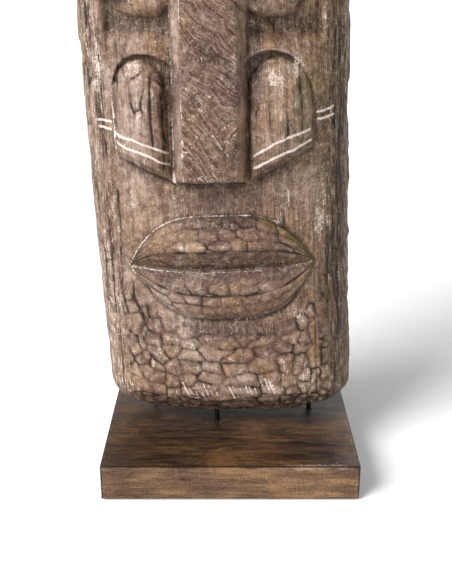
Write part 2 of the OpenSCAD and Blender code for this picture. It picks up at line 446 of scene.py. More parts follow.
@dataclass(frozen=True)
class DrybrushedCarving:
    """Brown stained wood, with dark cracks and worn white paint on what stands proud; the carved creases are
    drawn as dark lines of painted shade, and some white edge lines are painted highlights.
    """

    crack_and_shade_colour: Colour = (34, 24, 20)
    soot_and_shade_colour: Colour = (66, 48, 44)
    paint_and_highlight_colour: Colour = (214, 198, 190)
    dust_colour: Colour = (190, 170, 152)
    shade: Colour = (140, 120, 106)

    def material(self) -> bpy.types.Material:
        """Makes the material; it reads the figure's own attributes.

        Returns:
            The material.
        """
        g = Graph("carved_wood")
        flow = g.attribute("flow", "Vector")
        split_flow = g.node("SeparateXYZ")
        g.put(split_flow.inputs[0], flow)
        fibrous = split_flow.outputs["Z"]
        fibre = g.noise(g.stretch(flow, (700.0, 42.0, 0.0)), detail=5.0, rough_share=0.6)
        streak = g.noise(g.stretch(flow, (250.0, 14.0, 0.0)), detail=4.0, rough_share=0.6, twist=0.5)
        grit = g.noise(g.place(), scale=430.0, detail=5.0, rough_share=0.65)
        mottle = g.noise(g.place(), scale=120.0, detail=5.0, rough_share=0.62, twist=0.6)
        cloud = g.noise(g.place(), scale=42.0, detail=4.0)

        colour = g.attribute("stain", "Color")
        for value, low, high, strength in ((streak, 0.44, 0.62, fibrous), (mottle, 0.42, 0.64, 0.42),
                                           (grit, 0.44, 0.62, 0.6)):
            colour = g.shaded(colour, g.times(g.steps(value, low, high), strength), self.shade)
        colour = g.cover(colour, (g.times(g.steps(fibre, 0.5, 0.72, 0.0, 0.42), fibrous), self.dust_colour),
                         (g.steps(mottle, 0.46, 0.34, 0.0, 0.2), self.dust_colour),
                         (g.steps(grit, 0.44, 0.34, 0.0, 0.4), self.dust_colour))

        # These dark lines are the wood's cracks and, drawn the same way, painted shade in the carved
        # creases; a darker rim lies round both.
        crack_and_crease_shade = g.total(g.attribute("crack_and_crease_shade"), g.steps(cloud, 0.3, 0.7, -0.35, 0.7),
                        g.steps(grit, 0.3, 0.7, -0.3, 0.35))
        split = g.steps(crack_and_crease_shade, 1.2, 0.35)
        rub = g.total(g.attribute("rub"), g.times(g.steps(fibre, 0.35, 0.68, -0.4, 0.4), fibrous),
                      g.steps(grit, 0.36, 0.64, -0.4, 0.4), g.steps(mottle, 0.35, 0.65, 0.12, -0.12))
        # The white lines are white paint, and along arrises that face the light they are partly painted
        # highlight.
        edge = g.total(g.attribute("paint_and_highlight"), g.steps(grit, 0.3, 0.7, -0.4, 0.4))
        painted = g.times(g.steps(edge, 0.45, -0.45), g.steps(streak, 0.32, 0.5, 0.7, 0.95))
        colour = g.cover(colour, (g.steps(crack_and_crease_shade, 3.8, 0.8, 0.0, 0.3), self.soot_and_shade_colour),
                         (g.steps(crack_and_crease_shade, 1.9, 0.6, 0.0, 0.45), self.soot_and_shade_colour),
                         (g.steps(rub, 0.35, 0.9, 0.0, 0.55), self.dust_colour),
                         (g.times(split, 0.92), self.crack_and_shade_colour),
                         (g.steps(rub, 0.84, 1.08, 0.0, 0.75), self.paint_and_highlight_colour),
                         (painted, self.paint_and_highlight_colour))

        height = g.sums("SUBTRACT", g.total(g.times(fibre, 0.45), g.times(grit, 0.6)), g.times(split, 0.9))
        height = g.total(height, g.times(mottle, 0.9))
        roughness = g.steps(cloud, 0.3, 0.7, 0.42, 0.6)
        return g.finish(colour, roughness, g.bump(height, 0.0014, 0.6), Specular_IOR_Level=0.22)


class Grain(Enum):
    """The way a board's fibres run."""

    ALONG_X = (0.0, 0.0, 0.0)
    ALONG_Y = (0.0, 0.0, math.pi / 2)


@dataclass(frozen=True)
class WaxedBoard:
    """Dark stained board with long streaks, rubbed through at its arrises."""

    grain: Grain
    dark: Colour = (34, 24, 18)
    middle: Colour = (74, 52, 35)
    light: Colour = (110, 80, 50)
    bloom: Colour = (72, 54, 46)
    worn: Colour = (168, 146, 130)
    amber: Colour = (112, 74, 44)
    shade: Colour = (140, 128, 120)
    gap: Colour = (24, 17, 13)
    contrast: float = 1.0

    def material(self, name: str) -> bpy.types.Material:
        """Makes the material; it reads how far each place is from the board's arrises, in millimetres.

        Args:
            name: the material's name.

        Returns:
            The material.
        """
        g = Graph(name)
        turn = self.grain.value
        streak = g.noise(g.place((11.0, 85.0, 85.0), turn), detail=8.0, rough_share=0.68, twist=1.4)
        fibre = g.noise(g.place((34.0, 330.0, 330.0), turn), detail=6.0, rough_share=0.7)
        patch = g.noise(g.place((12.0, 24.0, 24.0), turn), detail=5.0, rough_share=0.6, twist=1.2)
        saw = g.noise(g.place((520.0, 36.0, 36.0), turn), detail=4.0, rough_share=0.6)
        grit = g.noise(g.place(), scale=420.0, detail=5.0, rough_share=0.7)
        tone = g.total(g.times(streak, 0.5), g.times(patch, 0.5))
        reach = 0.11 / self.contrast
        colour = g.ladder(tone, [(0.49 - reach, self.dark), (0.49, self.middle), (0.49 + reach, self.light)])
        for value, low, high, strength in ((fibre, 0.44, 0.6, 0.7 * self.contrast), (saw, 0.5, 0.66, 0.16),
                                           (grit, 0.45, 0.6, 0.5)):
            colour = g.shaded(colour, g.steps(value, low, high, 0.0, strength), self.shade)
        hue = g.noise(g.place((9.0, 22.0, 22.0), turn), detail=5.0, rough_share=0.65, twist=1.0)

        chips = g.noise(g.place((85.0, 85.0, 85.0)), detail=6.0, rough_share=0.75)
        edge = g.attribute("edge")
        near = g.steps(g.total(edge, g.steps(chips, 0.3, 0.7, 3.0, -3.0)), 5.5, 1.0)
        rubbed = g.times(near, g.steps(g.total(g.attribute("wear"), grit), 0.95, 1.15))
        seam = g.steps(g.total(edge, g.steps(streak, 0.3, 0.7, -0.6, 0.8)), 2.7, 1.1)
        nick = g.steps(g.noise(g.place((230.0, 230.0, 30.0)), detail=2.0, rough_share=0.5), 0.71, 0.76)
        colour = g.cover(colour, (g.steps(hue, 0.55, 0.72, 0.0, 0.5), self.amber),
                         (g.steps(hue, 0.45, 0.32, 0.0, 0.45), self.bloom),
                         (g.times(rubbed, 0.8), self.worn), (g.times(seam, 0.85), self.gap),
                         (g.times(nick, 0.5), self.worn))
        height = g.total(g.times(streak, 0.7), g.times(fibre, 0.5), g.times(grit, 0.3))
        roughness = g.steps(streak, 0.35, 0.65, 0.4, 0.58)
        return g.finish(colour, roughness, g.bump(height, 0.0007, 0.6), Specular_IOR_Level=0.14)


@dataclass(frozen=True)
class RawWood:
    """Planed pale wood without a finish."""

    name: str
    light: Colour = (198, 166, 122)
    dark: Colour = (158, 122, 82)
    layers: float = 0.0

    def material(self) -> bpy.types.Material:
        """Makes the material; layers above 0 adds that many plies per metre of height.

        Returns:
            The material.
        """
        g = Graph(self.name)
        streak = g.noise(g.place((9.0, 120.0, 120.0 + self.layers)), detail=5.0, rough_share=0.6, twist=0.5)
        fibre = g.noise(g.place((30.0, 700.0, 700.0)), detail=3.0)
        colour = g.ladder(streak, [(0.34, self.dark), (0.62, self.light)])
        colour = g.cover(colour, (g.steps(fibre, 0.4, 0.7, 0.0, 0.35), self.dark))
        return g.finish(colour, g.steps(fibre, 0.3, 0.7, 0.6, 0.78), g.bump(fibre, 0.0003, 0.5))


@dataclass(frozen=True)
class PressedFelt:
    """Charcoal felt: matted fibres without a weave."""

    dark: Colour = (30, 29, 28)
    light: Colour = (64, 61, 58)

    def material(self) -> bpy.types.Material:
        """Makes the material.

        Returns:
            The material.
        """
        g = Graph("felt")
        mat = g.noise(g.place(), scale=900.0, detail=6.0, rough_share=0.8, twist=1.5)
        lump = g.noise(g.place(), scale=90.0, detail=3.0)
        tone = g.total(g.times(mat, 0.7), g.times(lump, 0.3))
        colour = g.ladder(tone, [(0.38, self.dark), (0.64, self.light)])
        return g.finish(colour, 0.95, g.bump(mat, 0.0006, 0.8), Sheen_Weight=0.35, Sheen_Roughness=0.5)


@dataclass(frozen=True)
class Steel:
    """Round bar or screw steel, blackened or zinc plated."""

    name: str
    dark: Colour
    light: Colour
    roughness: tuple[float, float]
    metallic: float = 1.0

    def material(self) -> bpy.types.Material:
        """Makes the material.

        Returns:
            The material.
        """
        g = Graph(self.name)
        cloud = g.noise(g.place(), scale=160.0, detail=5.0, rough_share=0.7)
        draw = g.noise(g.place((900.0, 900.0, 30.0)), detail=3.0)
        colour = g.ladder(cloud, [(0.36, self.dark), (0.68, self.light)])
        return g.finish(colour, g.steps(cloud, 0.3, 0.7, *self.roughness), g.bump(draw, 0.00015, 0.5),
                        Metallic=self.metallic)


# ---- mesh help ---------------------------------------------------------------------------------


def close_mesh(bm: bmesh.types.BMesh, name: str) -> bpy.types.Object:
    """Merges doubles, turns all faces outwards and gives the piece an object at the origin.

    Args:
        bm: the mesh, which is freed here.
        name: the piece's name.

    Returns:
        The piece.
    """
    bmesh.ops.remove_doubles(bm, verts=bm.verts, dist=1e-6)
    bmesh.ops.recalc_face_normals(bm, faces=bm.faces)
    mesh = bpy.data.meshes.new(name)
    bm.to_mesh(mesh)
    bm.free()
    mesh.shade_smooth()
    made = bpy.data.objects.new(name, mesh)
    bpy.context.scene.collection.objects.link(made)
    return made


def dress(piece: bpy.types.Object, material: bpy.types.Material, body: str, slot: str,
          *nodes: str) -> None:
    """Gives a finished piece its material and its body, and hides the CAD nodes that it stands for.

    Args:
        piece: the finished piece.
        material: its finish.
        body: the body that it rides on.
        slot: the name of its material slot; not used.
        nodes: the CAD nodes that it replaces.
    """
    piece.data.materials.append(material)
    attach(piece, body)
    if nodes:
        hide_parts(*nodes)
    triangles = sum(len(face.vertices) - 2 for face in piece.data.polygons)
    log.info("%s: %d triangles, rides on %s", piece.name, triangles, body)


def store(piece: bpy.types.Object, name: str, values: Array) -> None:
    """Writes one number, vector or colour per vertex as an attribute.

    Args:
        piece: the piece.
        name: the attribute's name.
        values: one value or row per vertex.
    """
    kind, key = {1: ("FLOAT", "value"), 3: ("FLOAT_VECTOR", "vector"), 4: ("FLOAT_COLOR", "color")}[
        1 if values.ndim == 1 else values.shape[1]]
    layer = piece.data.attributes.new(name, kind, "POINT")
    layer.data.foreach_set(key, np.ascontiguousarray(values, np.float32).ravel())


# ---- the figure --------------------------------------------------------------------------------
# All of the figure's sizes are in millimetres. Heights h are measured from the plinth's top, and
# x from the log's own middle line, which bows to one side.


@dataclass(frozen=True)
class Lens:
    """A pointed oval with a slit, such as the lips or an eye; upper and lower part each have a ridge."""

    x: float
    h: float
    half: float
    up: float
    down: float
    rise: float
    ridge_up: float = 0.4
    ridge_down: float = 0.43
    slit_up: float = 0.04
    slit_down: float = 0.5
    climb: float = 0.0
    smile: float = 0.0
    up_power: float = 3.4
    down_powers: tuple[float, float] = (3.1, 4.2)

    def across(self, x: Array) -> Array:
        """-1 and 1 at the corners."""
        return np.clip((x - self.x) / self.half, -1.0, 1.0)

    def slit(self, x: Array) -> Array:
        """Height of the slit at x."""
        u = self.across(x)
        return self.h + self.climb * u + self.smile * u * u

    def reach(self, x: Array) -> tuple[Array, Array]:
        """How far the outline is above and below the slit at x.

        Args:
            x: places across the figure, in millimetres.

        Returns:
            How far above the slit, and how far below it.
        """
        u = self.across(x)
        low = np.where(u < 0, self.down_powers[0], self.down_powers[1])
        return self.up * (1 - np.abs(u) ** self.up_power), self.down * (1 - np.abs(u) ** low)

    def inside(self, x: Array) -> Array:
        """Which places are between the corners."""
        return np.abs(x - self.x) < self.half

    def share(self, x: Array, h: Array) -> Array:
        """Height above the slit as a share of the outline's: 0 at the slit, 1 or -1 at the outline.

        Args:
            x, h: places on the figure, in millimetres.

        Returns:
            The share at each place.
        """
        up, down = self.reach(x)
        v = h - self.slit(x)
        share = np.where(v >= 0, v / np.maximum(up, 0.5), v / np.maximum(down, 0.5))
        return np.where(self.inside(x), np.clip(share, -9.0, 9.0), np.where(v >= 0, 9.0, -9.0))

    def outline(self, x: Array, h: Array) -> Array:
        """Rough distance to the outline, negative inside.

        Args:
            x, h: places on the figure, in millimetres.

        Returns:
            The distance, in millimetres.
        """
        up, down = self.reach(x)
        u = np.abs(self.across(x))
        v = h - self.slit(x)
        steep = np.where(v >= 0, 3 * self.up * u**2, 2.8 * self.down * u**1.8) / self.half
        away = (np.abs(v) - np.where(v >= 0, up, down)) / np.sqrt(1 + steep**2)
        past = np.hypot(np.maximum(np.abs(x - self.x) - self.half, 0), v)
        return np.where(self.inside(x), away, past)

    def ridge(self, x: Array, h: Array) -> Array:
        """Share at which the ridge lies."""
        u = np.abs(self.across(x))
        return np.where(h >= self.slit(x), self.ridge_up + 0.1 * u**2, self.ridge_down - 0.14 * u**3)

    def ridge_away(self, x: Array, h: Array) -> Array:
        """Distance to the ridge, in millimetres; positive outside it.

        Args:
            x, h: places on the figure, in millimetres.

        Returns:
            The distance, or 99 past the corners.
        """
        up, down = self.reach(x)
        share = np.abs(self.share(x, h))
        tall = np.where(h >= self.slit(x), up, down)
        return np.where(self.inside(x), (share - self.ridge(x, h)) * tall, 99.0)

    def relief(self, x: Array, h: Array) -> Array:
        """Steps down at the outline, swells to the ridge and falls back to the slit, where the lower
        part stands in front of the upper one.

        Args:
            x, h: places on the figure, in millimetres.

        Returns:
            Millimetres in front of the face.
        """
        share = np.abs(self.share(x, h))
        ridge = self.ridge(x, h)
        swell = 1 - 0.8 * np.abs(self.across(x)) ** 2.6
        outer = -0.2 + 1.2 * np.clip((1 - share) / (1 - ridge), 0, 1) ** 0.5
        rest = mix(slope(1.2, -0.8, h - self.slit(x)), self.slit_up, self.slit_down)
        inner = rest + (0.93 - rest) * np.clip(share / ridge, 0, 1) ** 1.1
        body = self.rise * swell * np.where(share > ridge, outer, inner)
        return np.where(share >= 1, 0.0, body - 1.5 * swell * bell(self.ridge_away(x, h) - 1.5, 1.5))


@dataclass(frozen=True)
class Tablet:
    """A cheek: a niche with an arched head beside the nose, filled by a finger with a slanting foot."""

    x: float
    side: int
    outer: float
    inner: float
    inner_edge: float
    spring: float
    arch: float
    foot: float
    slant: float
    finger_x: float
    finger_half: float
    finger_top: float
    finger_spring: float
    chamfer: float = 10.0
    sunk: float = 9.0
    rise: float = 17.0

    def foot_line(self, x: Array) -> Array:
        """Height of the lower edge: it climbs away from the nose."""
        return self.foot + self.slant * np.clip(self.side * (x - self.inner_edge), 0, 80)

    def head_line(self, x: Array) -> Array:
        """Height of the arch."""
        half = np.where(self.side * (x - self.x) > 0, self.outer, self.inner)
        return self.spring + self.arch * np.sqrt(np.clip(1 - ((x - self.x) / half) ** 2, 0, 1))

    def arch_away(self, x: Array, h: Array) -> Array:
        """Distance outside the arch and the upright outer edge, negative inside.

        Args:
            x, h: places on the figure, in millimetres.

        Returns:
            The distance, in millimetres.
        """
        half = np.where(self.side * (x - self.x) > 0, self.outer, self.inner)
        up = np.maximum(h - self.spring, 0) / self.arch
        return (np.hypot((x - self.x) / half, up) - 1) * half

    def foot_away(self, x: Array, h: Array) -> Array:
        """Distance below the lower edge, negative above it."""
        return (self.foot_line(x) - h) / math.hypot(1, self.slant)

    def nose_away(self, x: Array) -> Array:
        """Distance past the edge beside the nose, negative on the tablet."""
        return self.side * (self.inner_edge - x)

    def outline(self, x: Array, h: Array) -> Array:
        """Distance outside the whole outline, negative inside."""
        return np.maximum(np.maximum(self.arch_away(x, h), self.foot_away(x, h)), self.nose_away(x))

    def chamfer_height(self, x: Array) -> Array:
        """Height of the bevel at the foot: broad in the middle, a point at both ends."""
        t = np.clip(self.side * (x - self.inner_edge) / (self.inner + self.outer), 0, 1)
        return 1.5 + self.chamfer * np.sqrt(np.clip(4 * t * (1 - t), 0, 1))

    def finger(self, x: Array, h: Array) -> Array:
        """0 along the finger's middle, 1 at its edge."""
        up = np.maximum(h - self.finger_spring, 0) / (self.finger_top - self.finger_spring)
        return np.hypot((x - self.finger_x) / self.finger_half, up)

    def relief(self, x: Array, h: Array) -> Array:
        """Floor of the niche, the finger on it, and the bevel at its foot.

        Args:
            x, h: places on the figure, in millimetres.

        Returns:
            Millimetres in front of the face.
        """
        deep = ramp(self.spring - 70, self.spring + 25, h)
        floor = 2.5 * (1 - deep) - self.sunk * deep
        dome = np.clip(1 - self.finger(x, h) ** 2.2, 0, 1) ** 0.5
        body = floor + (self.rise - floor) * dome * (0.72 + 0.28 * ramp(0, 70, self.finger_top - h))
        wall = slope(0.0, 3.0, -np.maximum(self.arch_away(x, h), self.nose_away(x)))
        foot = slope(0.0, 1.0, -self.foot_away(x, h) / self.chamfer_height(x))
        return body * wall * (0.12 + 0.88 * foot) * slope(0.0, 2.0, -self.foot_away(x, h))


@dataclass(frozen=True)
class Split:
    """A long crack that follows the grain."""

    x: float
    low: float
    high: float
    width: float
    sway: float = 2.0


class Tint(Enum):
    """Stains of the wood; at places noted there, they are also laid on as painted shade and painted light.
    """

    TAN = (168, 139, 111)
    BROWN = (124, 95, 77)
    UMBER = (94, 69, 54)
    PLUM = (98, 73, 72)
    OLIVE = (116, 98, 50)
    OCHRE = (152, 112, 70)
    SHADE = (62, 45, 36)
    MOSS = (80, 60, 32)
    ASH = (180, 160, 148)

    def light(self) -> Array:
        """The tint in linear light."""
        return np.array(linear(self.value))


@dataclass(frozen=True)
class Wash:
    """A soft oval patch on the front: of one tint, or of worn white where it has none; some tinted patches
    are painted shade and painted light, as noted in the list.
    """

    x: float
    h: float
    wide: float
    tall: float
    strength: float
    tint: Tint | None = None

    def share(self, x: Array, h: Array) -> Array:
        """How strong the patch is at each place."""
        return self.strength * bell(x - self.x, self.wide) * bell(h - self.h, self.tall)


@dataclass(frozen=True)
class Strokes:
    """A row of short cuts with a chisel, rubbed white."""

    start: tuple[float, float]
    end: tuple[float, float]
    count: int
    length: float
    lean: float
    seed: int
    width: float = 0.9


@dataclass
class Carving:
    """The face: what is cut into the log's front, and how it is painted."""

    nose_x: float = -8.2
    nose_tilt: float = 0.02
    nose_front: float = 29.6
    nose_root: float = 40.4
    nose_tip: float = 317.5
    nose_end: float = 585.0
    nose_rise: float = 27.0
    eye_h: float = 514.0
    eye_sunk: float = 12.0
    brow_h: float = 604.0
    brow_rise: float = 17.0
    band_low: float = 668.0
    band_high: float = 726.0
    band_rise: float = 7.0
    chevron_pitch: float = 34.0
    chevron_tall: float = 30.0
    chevron_cut: float = 3.2
    flute_pitch: float = 30.0
    flute_cut: float = 5.2
    crease_x: float = 129.0
    crease_cut: float = 1.6
    mouth: Lens = Lens(-1.2, 212.0, 107.0, 63.5, 62.0, rise=17.0, climb=3.0, smile=4.5)
    eyes: tuple[Lens, Lens] = (Lens(-76.0, 514.0, 43.0, 27.0, 25.0, rise=15.0, down_powers=(3.1, 3.1)),
                               Lens(61.0, 514.0, 43.0, 27.0, 25.0, rise=15.0, down_powers=(3.1, 3.1)))
    cheeks: tuple[Tablet, Tablet] = (
        Tablet(-79.0, -1, 33.0, 43.0, -47.6, 416.0, 36.0, 311.0, 0.45, -84.0, 29.0, 447.0, 408.0),
        Tablet(60.0, 1, 47.5, 43.0, 33.0, 403.0, 53.0, 313.5, 0.5, 70.5, 37.5, 450.0, 402.0))
    stripes: tuple[tuple[tuple[float, float], ...], ...] = (
        ((-111, 366), (-92, 363), (-76, 357), (-55, 348)),
        ((-110.5, 358), (-92, 351), (-76.5, 346), (-54, 334)),
        ((40, 346), (61, 360), (77.5, 366), (102, 373)),
        ((39.5, 333), (61, 344.5), (83, 353), (103, 361)),
        ((-132, 380), (-117, 378)), ((-131, 372), (-117.5, 370)),
        ((110, 390), (118, 391), (130, 395)), ((111, 382), (118, 383), (130, 386)))
    splits: tuple[Split, ...] = (
        Split(-70, 352, 428, 1.5), Split(-58, 352, 408, 1.2), Split(77, 356, 424, 0.9),
        Split(92, 372, 432, 0.8), Split(-118, 150, 300, 1.0, 4), Split(-103, 96, 190, 1.1, 7),
        Split(-126, 340, 450, 1.1),
        Split(134, 120, 330, 1.4, 3), Split(138, 300, 520, 1.3), Split(121, 150, 260, 1.0, 3),
        Split(-40, 620, 760, 1.2, 3), Split(63, 700, 880, 1.3, 3), Split(-96, 740, 900, 1.2, 3),
        Split(115, 560, 700, 1.2, 3), Split(-137, 480, 660, 1.4, 3))
    strokes: tuple[Strokes, ...] = (
        Strokes((-58, 59), (-14, 58), 7, 15, -0.38, 3, 1.1),
        Strokes((-2, 57), (34, 59), 6, 12, -0.3, 5, 1.0),
        Strokes((38, 64), (56, 62), 4, 19, -0.35, 7, 1.2),
        Strokes((62, 72), (98, 80), 7, 26, 0.06, 11, 1.0),
        Strokes((-46, 118), (-40, 117), 2, 8, -0.1, 13, 1.2),
        Strokes((-6, 104), (10, 98), 2, 10, -1.1, 17), Strokes((18, 88), (34, 84), 4, 9, -0.5, 18, 0.6),
        Strokes((-20, 236), (26, 239), 5, 9, 0.2, 19, 0.5),
        Strokes((-26, 178), (22, 180), 3, 9, 0.05, 23, 0.6),
        Strokes((62, 262), (78, 300), 4, 22, 0.0, 25, 0.6),
        Strokes((-34, 325), (16, 325), 12, 11, 0.7, 29, 0.4),
        Strokes((-36, 348), (-28, 366), 4, 16, -1.2, 31, 0.7),
        Strokes((-30, 372), (-10, 404), 6, 17, -0.9, 33, 0.5),
        Strokes((10, 402), (17, 360), 7, 15, 0.9, 37, 0.5),
        Strokes((-32, 420), (8, 410), 7, 16, -0.9, 41, 0.4),
        Strokes((-30, 452), (14, 440), 7, 16, -0.8, 43, 0.3),
        Strokes((-10, 380), (8, 350), 5, 14, -0.8, 45, 0.3),
        Strokes((-92, 400), (-80, 420), 4, 14, 0.3, 47, 0.4),
        Strokes((-72, 372), (-66, 396), 4, 12, 0.5, 51, 0.3),
        Strokes((46, 420), (52, 392), 3, 20, 0.1, 53, 0.5))
    washes_and_painted_shade: tuple[Wash, ...] = (
        # The ASH wash at (-88, 385) lightens the left cheek's dome: partly worn dust, partly painted light.
        Wash(-88, 385, 20, 50, 0.65, Tint.ASH), Wash(-6, 138, 68, 16, 1.0, Tint.PLUM),
        # The SHADE wash at (-4, 138) is painted shade under the lower lip; the UMBER wash at (-4, 300) is a
        # painted shadow under the nose's tip.
        Wash(-4, 138, 62, 13, 0.3, Tint.SHADE), Wash(-4, 300, 52, 16, 0.75, Tint.UMBER),
        Wash(-2, 284, 50, 20, 0.75, Tint.PLUM), Wash(98, 395, 13, 55, 0.95, Tint.OLIVE),
        # The SHADE wash at (-52, 428) is painted shade in the left cheek's niche beside the nose.
        Wash(-98, 216, 12, 22, 0.4, Tint.OLIVE), Wash(-52, 428, 9, 22, 0.95, Tint.SHADE),
        Wash(-53, 372, 6, 60, 0.6, Tint.OCHRE), Wash(42, 436, 10, 26, 0.9, Tint.PLUM),
        # The UMBER washes at (-70, 330), (60, 330) and (82, 344) are painted shade on the cheeks' downward
        # foot bevels.
        Wash(-104, 400, 6, 44, 0.6, Tint.BROWN), Wash(-70, 330, 22, 10, 0.6, Tint.UMBER),
        # The UMBER wash at (120, 390) is a painted shadow cast by the right cheek.
        Wash(48, 340, 12, 16, 0.6, Tint.UMBER), Wash(120, 390, 10, 46, 0.6, Tint.UMBER),
        Wash(-60, 322, 16, 10, 0.5, Tint.OCHRE), Wash(14, 352, 14, 22, 0.6, Tint.PLUM),
        # The SHADE wash at (-2, 268) is painted shade just inside the lips' upper outline, under its step.
        Wash(60, 330, 30, 8, 0.5, Tint.UMBER), Wash(-2, 268, 36, 6, 0.8, Tint.SHADE),
        Wash(82, 344, 20, 8, 0.4, Tint.UMBER), Wash(-92, 150, 12, 26, 0.4, Tint.PLUM),
        Wash(30, 196, 40, 9, 0.45, Tint.TAN), Wash(-30, 90, 26, 10, 0.4, Tint.PLUM),
        Wash(34, 86, 40, 8, 0.3, Tint.OCHRE))
    wears: tuple[Wash, ...] = (
        Wash(-127, 440, 5, 38, 0.8), Wash(-118, 265, 10, 60, 0.5), Wash(-98, 80, 16, 14, 0.6),
        Wash(-122, 52, 18, 14, 0.55), Wash(63, 430, 13, 12, 0.95), Wash(90, 440, 9, 11, 0.7),
        Wash(-86, 435, 11, 10, 0.95), Wash(-72, 404, 12, 24, 0.4), Wash(92, 78, 9, 26, 0.5),
        Wash(88, 153, 11, 8, 0.5), Wash(120, 300, 7, 24, 0.5), Wash(-96, 290, 18, 44, 0.35),
        Wash(-84, 112, 9, 9, 0.6), Wash(-82, 92, 10, 8, 0.55), Wash(62, 96, 12, 9, 0.5),
        Wash(-28, 244, 26, 7, 0.3), Wash(-44, 240, 16, 6, 0.35), Wash(60, 190, 20, 8, 0.3),
        Wash(112, 255, 9, 55, 0.4), Wash(40, 372, 6, 40, 0.35), Wash(70, 395, 6, 30, 0.3),
        Wash(-100, 366, 6, 30, 0.3))

    def brow_droop(self, x: Array) -> Array:
        """How far the brow hangs down towards the sides."""
        return 0.0016 * np.minimum(np.abs(x - self.nose_x), 125.0) ** 2

    def brow_away(self, x: Array, h: Array) -> Array:
        """Height above the brow's middle line."""
        return h + self.brow_droop(x) - self.brow_h

    def nose_across(self, x: Array, h: Array) -> Array:
        """Distance to the +X side of the nose's middle line, which leans a little."""
        return x - self.nose_x - self.nose_tilt * (h - self.nose_tip)

    def nose_away(self, x: Array, h: Array) -> Array:
        """Distance from the nose's middle line."""
        return np.abs(self.nose_across(x, h))

    def flute_away(self, x: Array) -> Array:
        """Distance to the nearest groove above the headband."""
        turns = (x - self.nose_x) / self.flute_pitch
        return np.abs(turns - np.round(turns)) * self.flute_pitch

    def chevron_away(self, x: Array, h: Array) -> Array:
        """Distance to the zigzag on the headband.

        Args:
            x, h: places on the figure, in millimetres.

        Returns:
            The distance, in millimetres.
        """
        turns = (x - self.nose_x) / self.chevron_pitch
        peak = np.abs(turns - np.round(turns)) * 2.0
        middle = (self.band_low + self.band_high) / 2
        return np.abs(h - middle - (peak - 0.5) * self.chevron_tall) / 2.0

    def levels(self, x: float, top: float, foot: float) -> tuple[Array, Array]:
        """How the mesh's rows bend to follow the carving at x.

        Args:
            x: one place across the figure, in millimetres.
            top, foot: the log's ends.

        Returns:
            The levels' plain heights, and their heights at x.
        """
        m, fade = self.mouth, 1 - ramp(114.0, 140.0, np.abs(x))
        side = int(x >= self.nose_x)
        cheek, eye, droop = self.cheeks[side], self.eyes[side], self.brow_droop(x)

        def spread(lens: Lens, part: int, full: float) -> float:
            """Keeps rows apart past a lens's corners."""
            apart = full * (0.15 + 0.45 * ramp(0.9, 1.3, abs(x - lens.x) / lens.half))
            return max(lens.reach(x)[part], apart)

        slit = m.slit(x)
        rows = [(foot, foot), (105.0, 105.0), (m.h - m.down, slit - spread(m, 1, m.down)), (m.h, slit),
                (m.h + m.up, slit + spread(m, 0, m.up)), (313.0, cheek.foot_line(x)), (385.0, 388.0),
                (452.0, max(cheek.head_line(x), 422.0)),
                (eye.h - eye.down, eye.h - spread(eye, 1, eye.down)), (eye.h, eye.h),
                (eye.h + eye.up, eye.h + spread(eye, 0, eye.up)),
                (self.brow_h - 26, self.brow_h - 26 - droop), (self.brow_h + 26, self.brow_h + 26 - droop),
                (self.band_low - 5, self.band_low - 5), (top, top)]
        plain, carved = np.array(rows, float).T
        return plain, plain + (carved - plain) * fade

    def nose(self, x: Array, h: Array) -> Array:
        """A long flat-topped wedge with sloping sides, cut off square at its tip.

        Args:
            x, h: places on the figure, in millimetres.

        Returns:
            Millimetres in front of the face.
        """
        rise = self.nose_rise - 8 * ramp(self.nose_tip, self.nose_end, h)
        sides = slope(self.nose_root, self.nose_front, self.nose_away(x, h))
        front = 1 + 0.05 * np.clip(1 - (self.nose_away(x, h) / self.nose_front) ** 2, 0, 1)
        ends = slope(self.nose_tip - 4, self.nose_tip + 3, h)
        return rise * sides * ends * (1 - ramp(self.nose_end, self.nose_end + 40, h)) * front

    def relief(self, x: Array, h: Array) -> Array:
        """All that stands proud of the log's front or is sunk into it, in millimetres.

        Args:
            x, h: places on the figure, in millimetres.

        Returns:
            Millimetres in front of the plain log.
        """
        wide = np.abs(x)
        nose = self.nose(x, h)
        total = nose + self.mouth.relief(x, h)
        for cheek in self.cheeks:
            rim = bell(cheek.arch_away(x, h) - 2.0, 2.4) * ramp(375, 400, h)
            total += cheek.relief(x, h) + rim * ramp(3, -1, cheek.nose_away(x))
        hollow = (1 - ramp(36, 52, np.abs(h - self.eye_h))) * (1 - ramp(112, 122, wide))
        clear = ramp(self.nose_root - 2, self.nose_root + 5, self.nose_away(x, h))
        total -= self.eye_sunk * hollow * clear
        total += clear * np.where(x < self.nose_x, self.eyes[0].relief(x, h), self.eyes[1].relief(x, h))
        away = self.brow_away(x, h)
        bar = slope(-19, -11, away) * (1 - ramp(9, 30, away))
        total += self.brow_rise * bar * (1 - ramp(117, 136, wide)) * (1 - 0.55 * nose / self.nose_rise)
        band = slope(self.band_low - 3, self.band_low + 3, h)
        band = band * (1 - slope(self.band_high - 3, self.band_high + 3, h))
        chevron = self.chevron_cut * bell(self.chevron_away(x, h), 2.6) * (1 - ramp(108, 120, wide))
        total += band * (self.band_rise - chevron)
        flute = ramp(self.band_high + 6, self.band_high + 16, h) * (1 - ramp(104, 128, wide))
        total -= self.flute_cut * flute * bell(self.flute_away(x), 4.2)
        crease = bell(wide - self.crease_x, 2.2) * ramp(45, 75, h) * (1 - ramp(640, 668, h))
        total -= self.crease_cut * crease
        total -= 1.4 * bell(self.mouth.outline(x, h) - 1.2, 1.5)
        return total


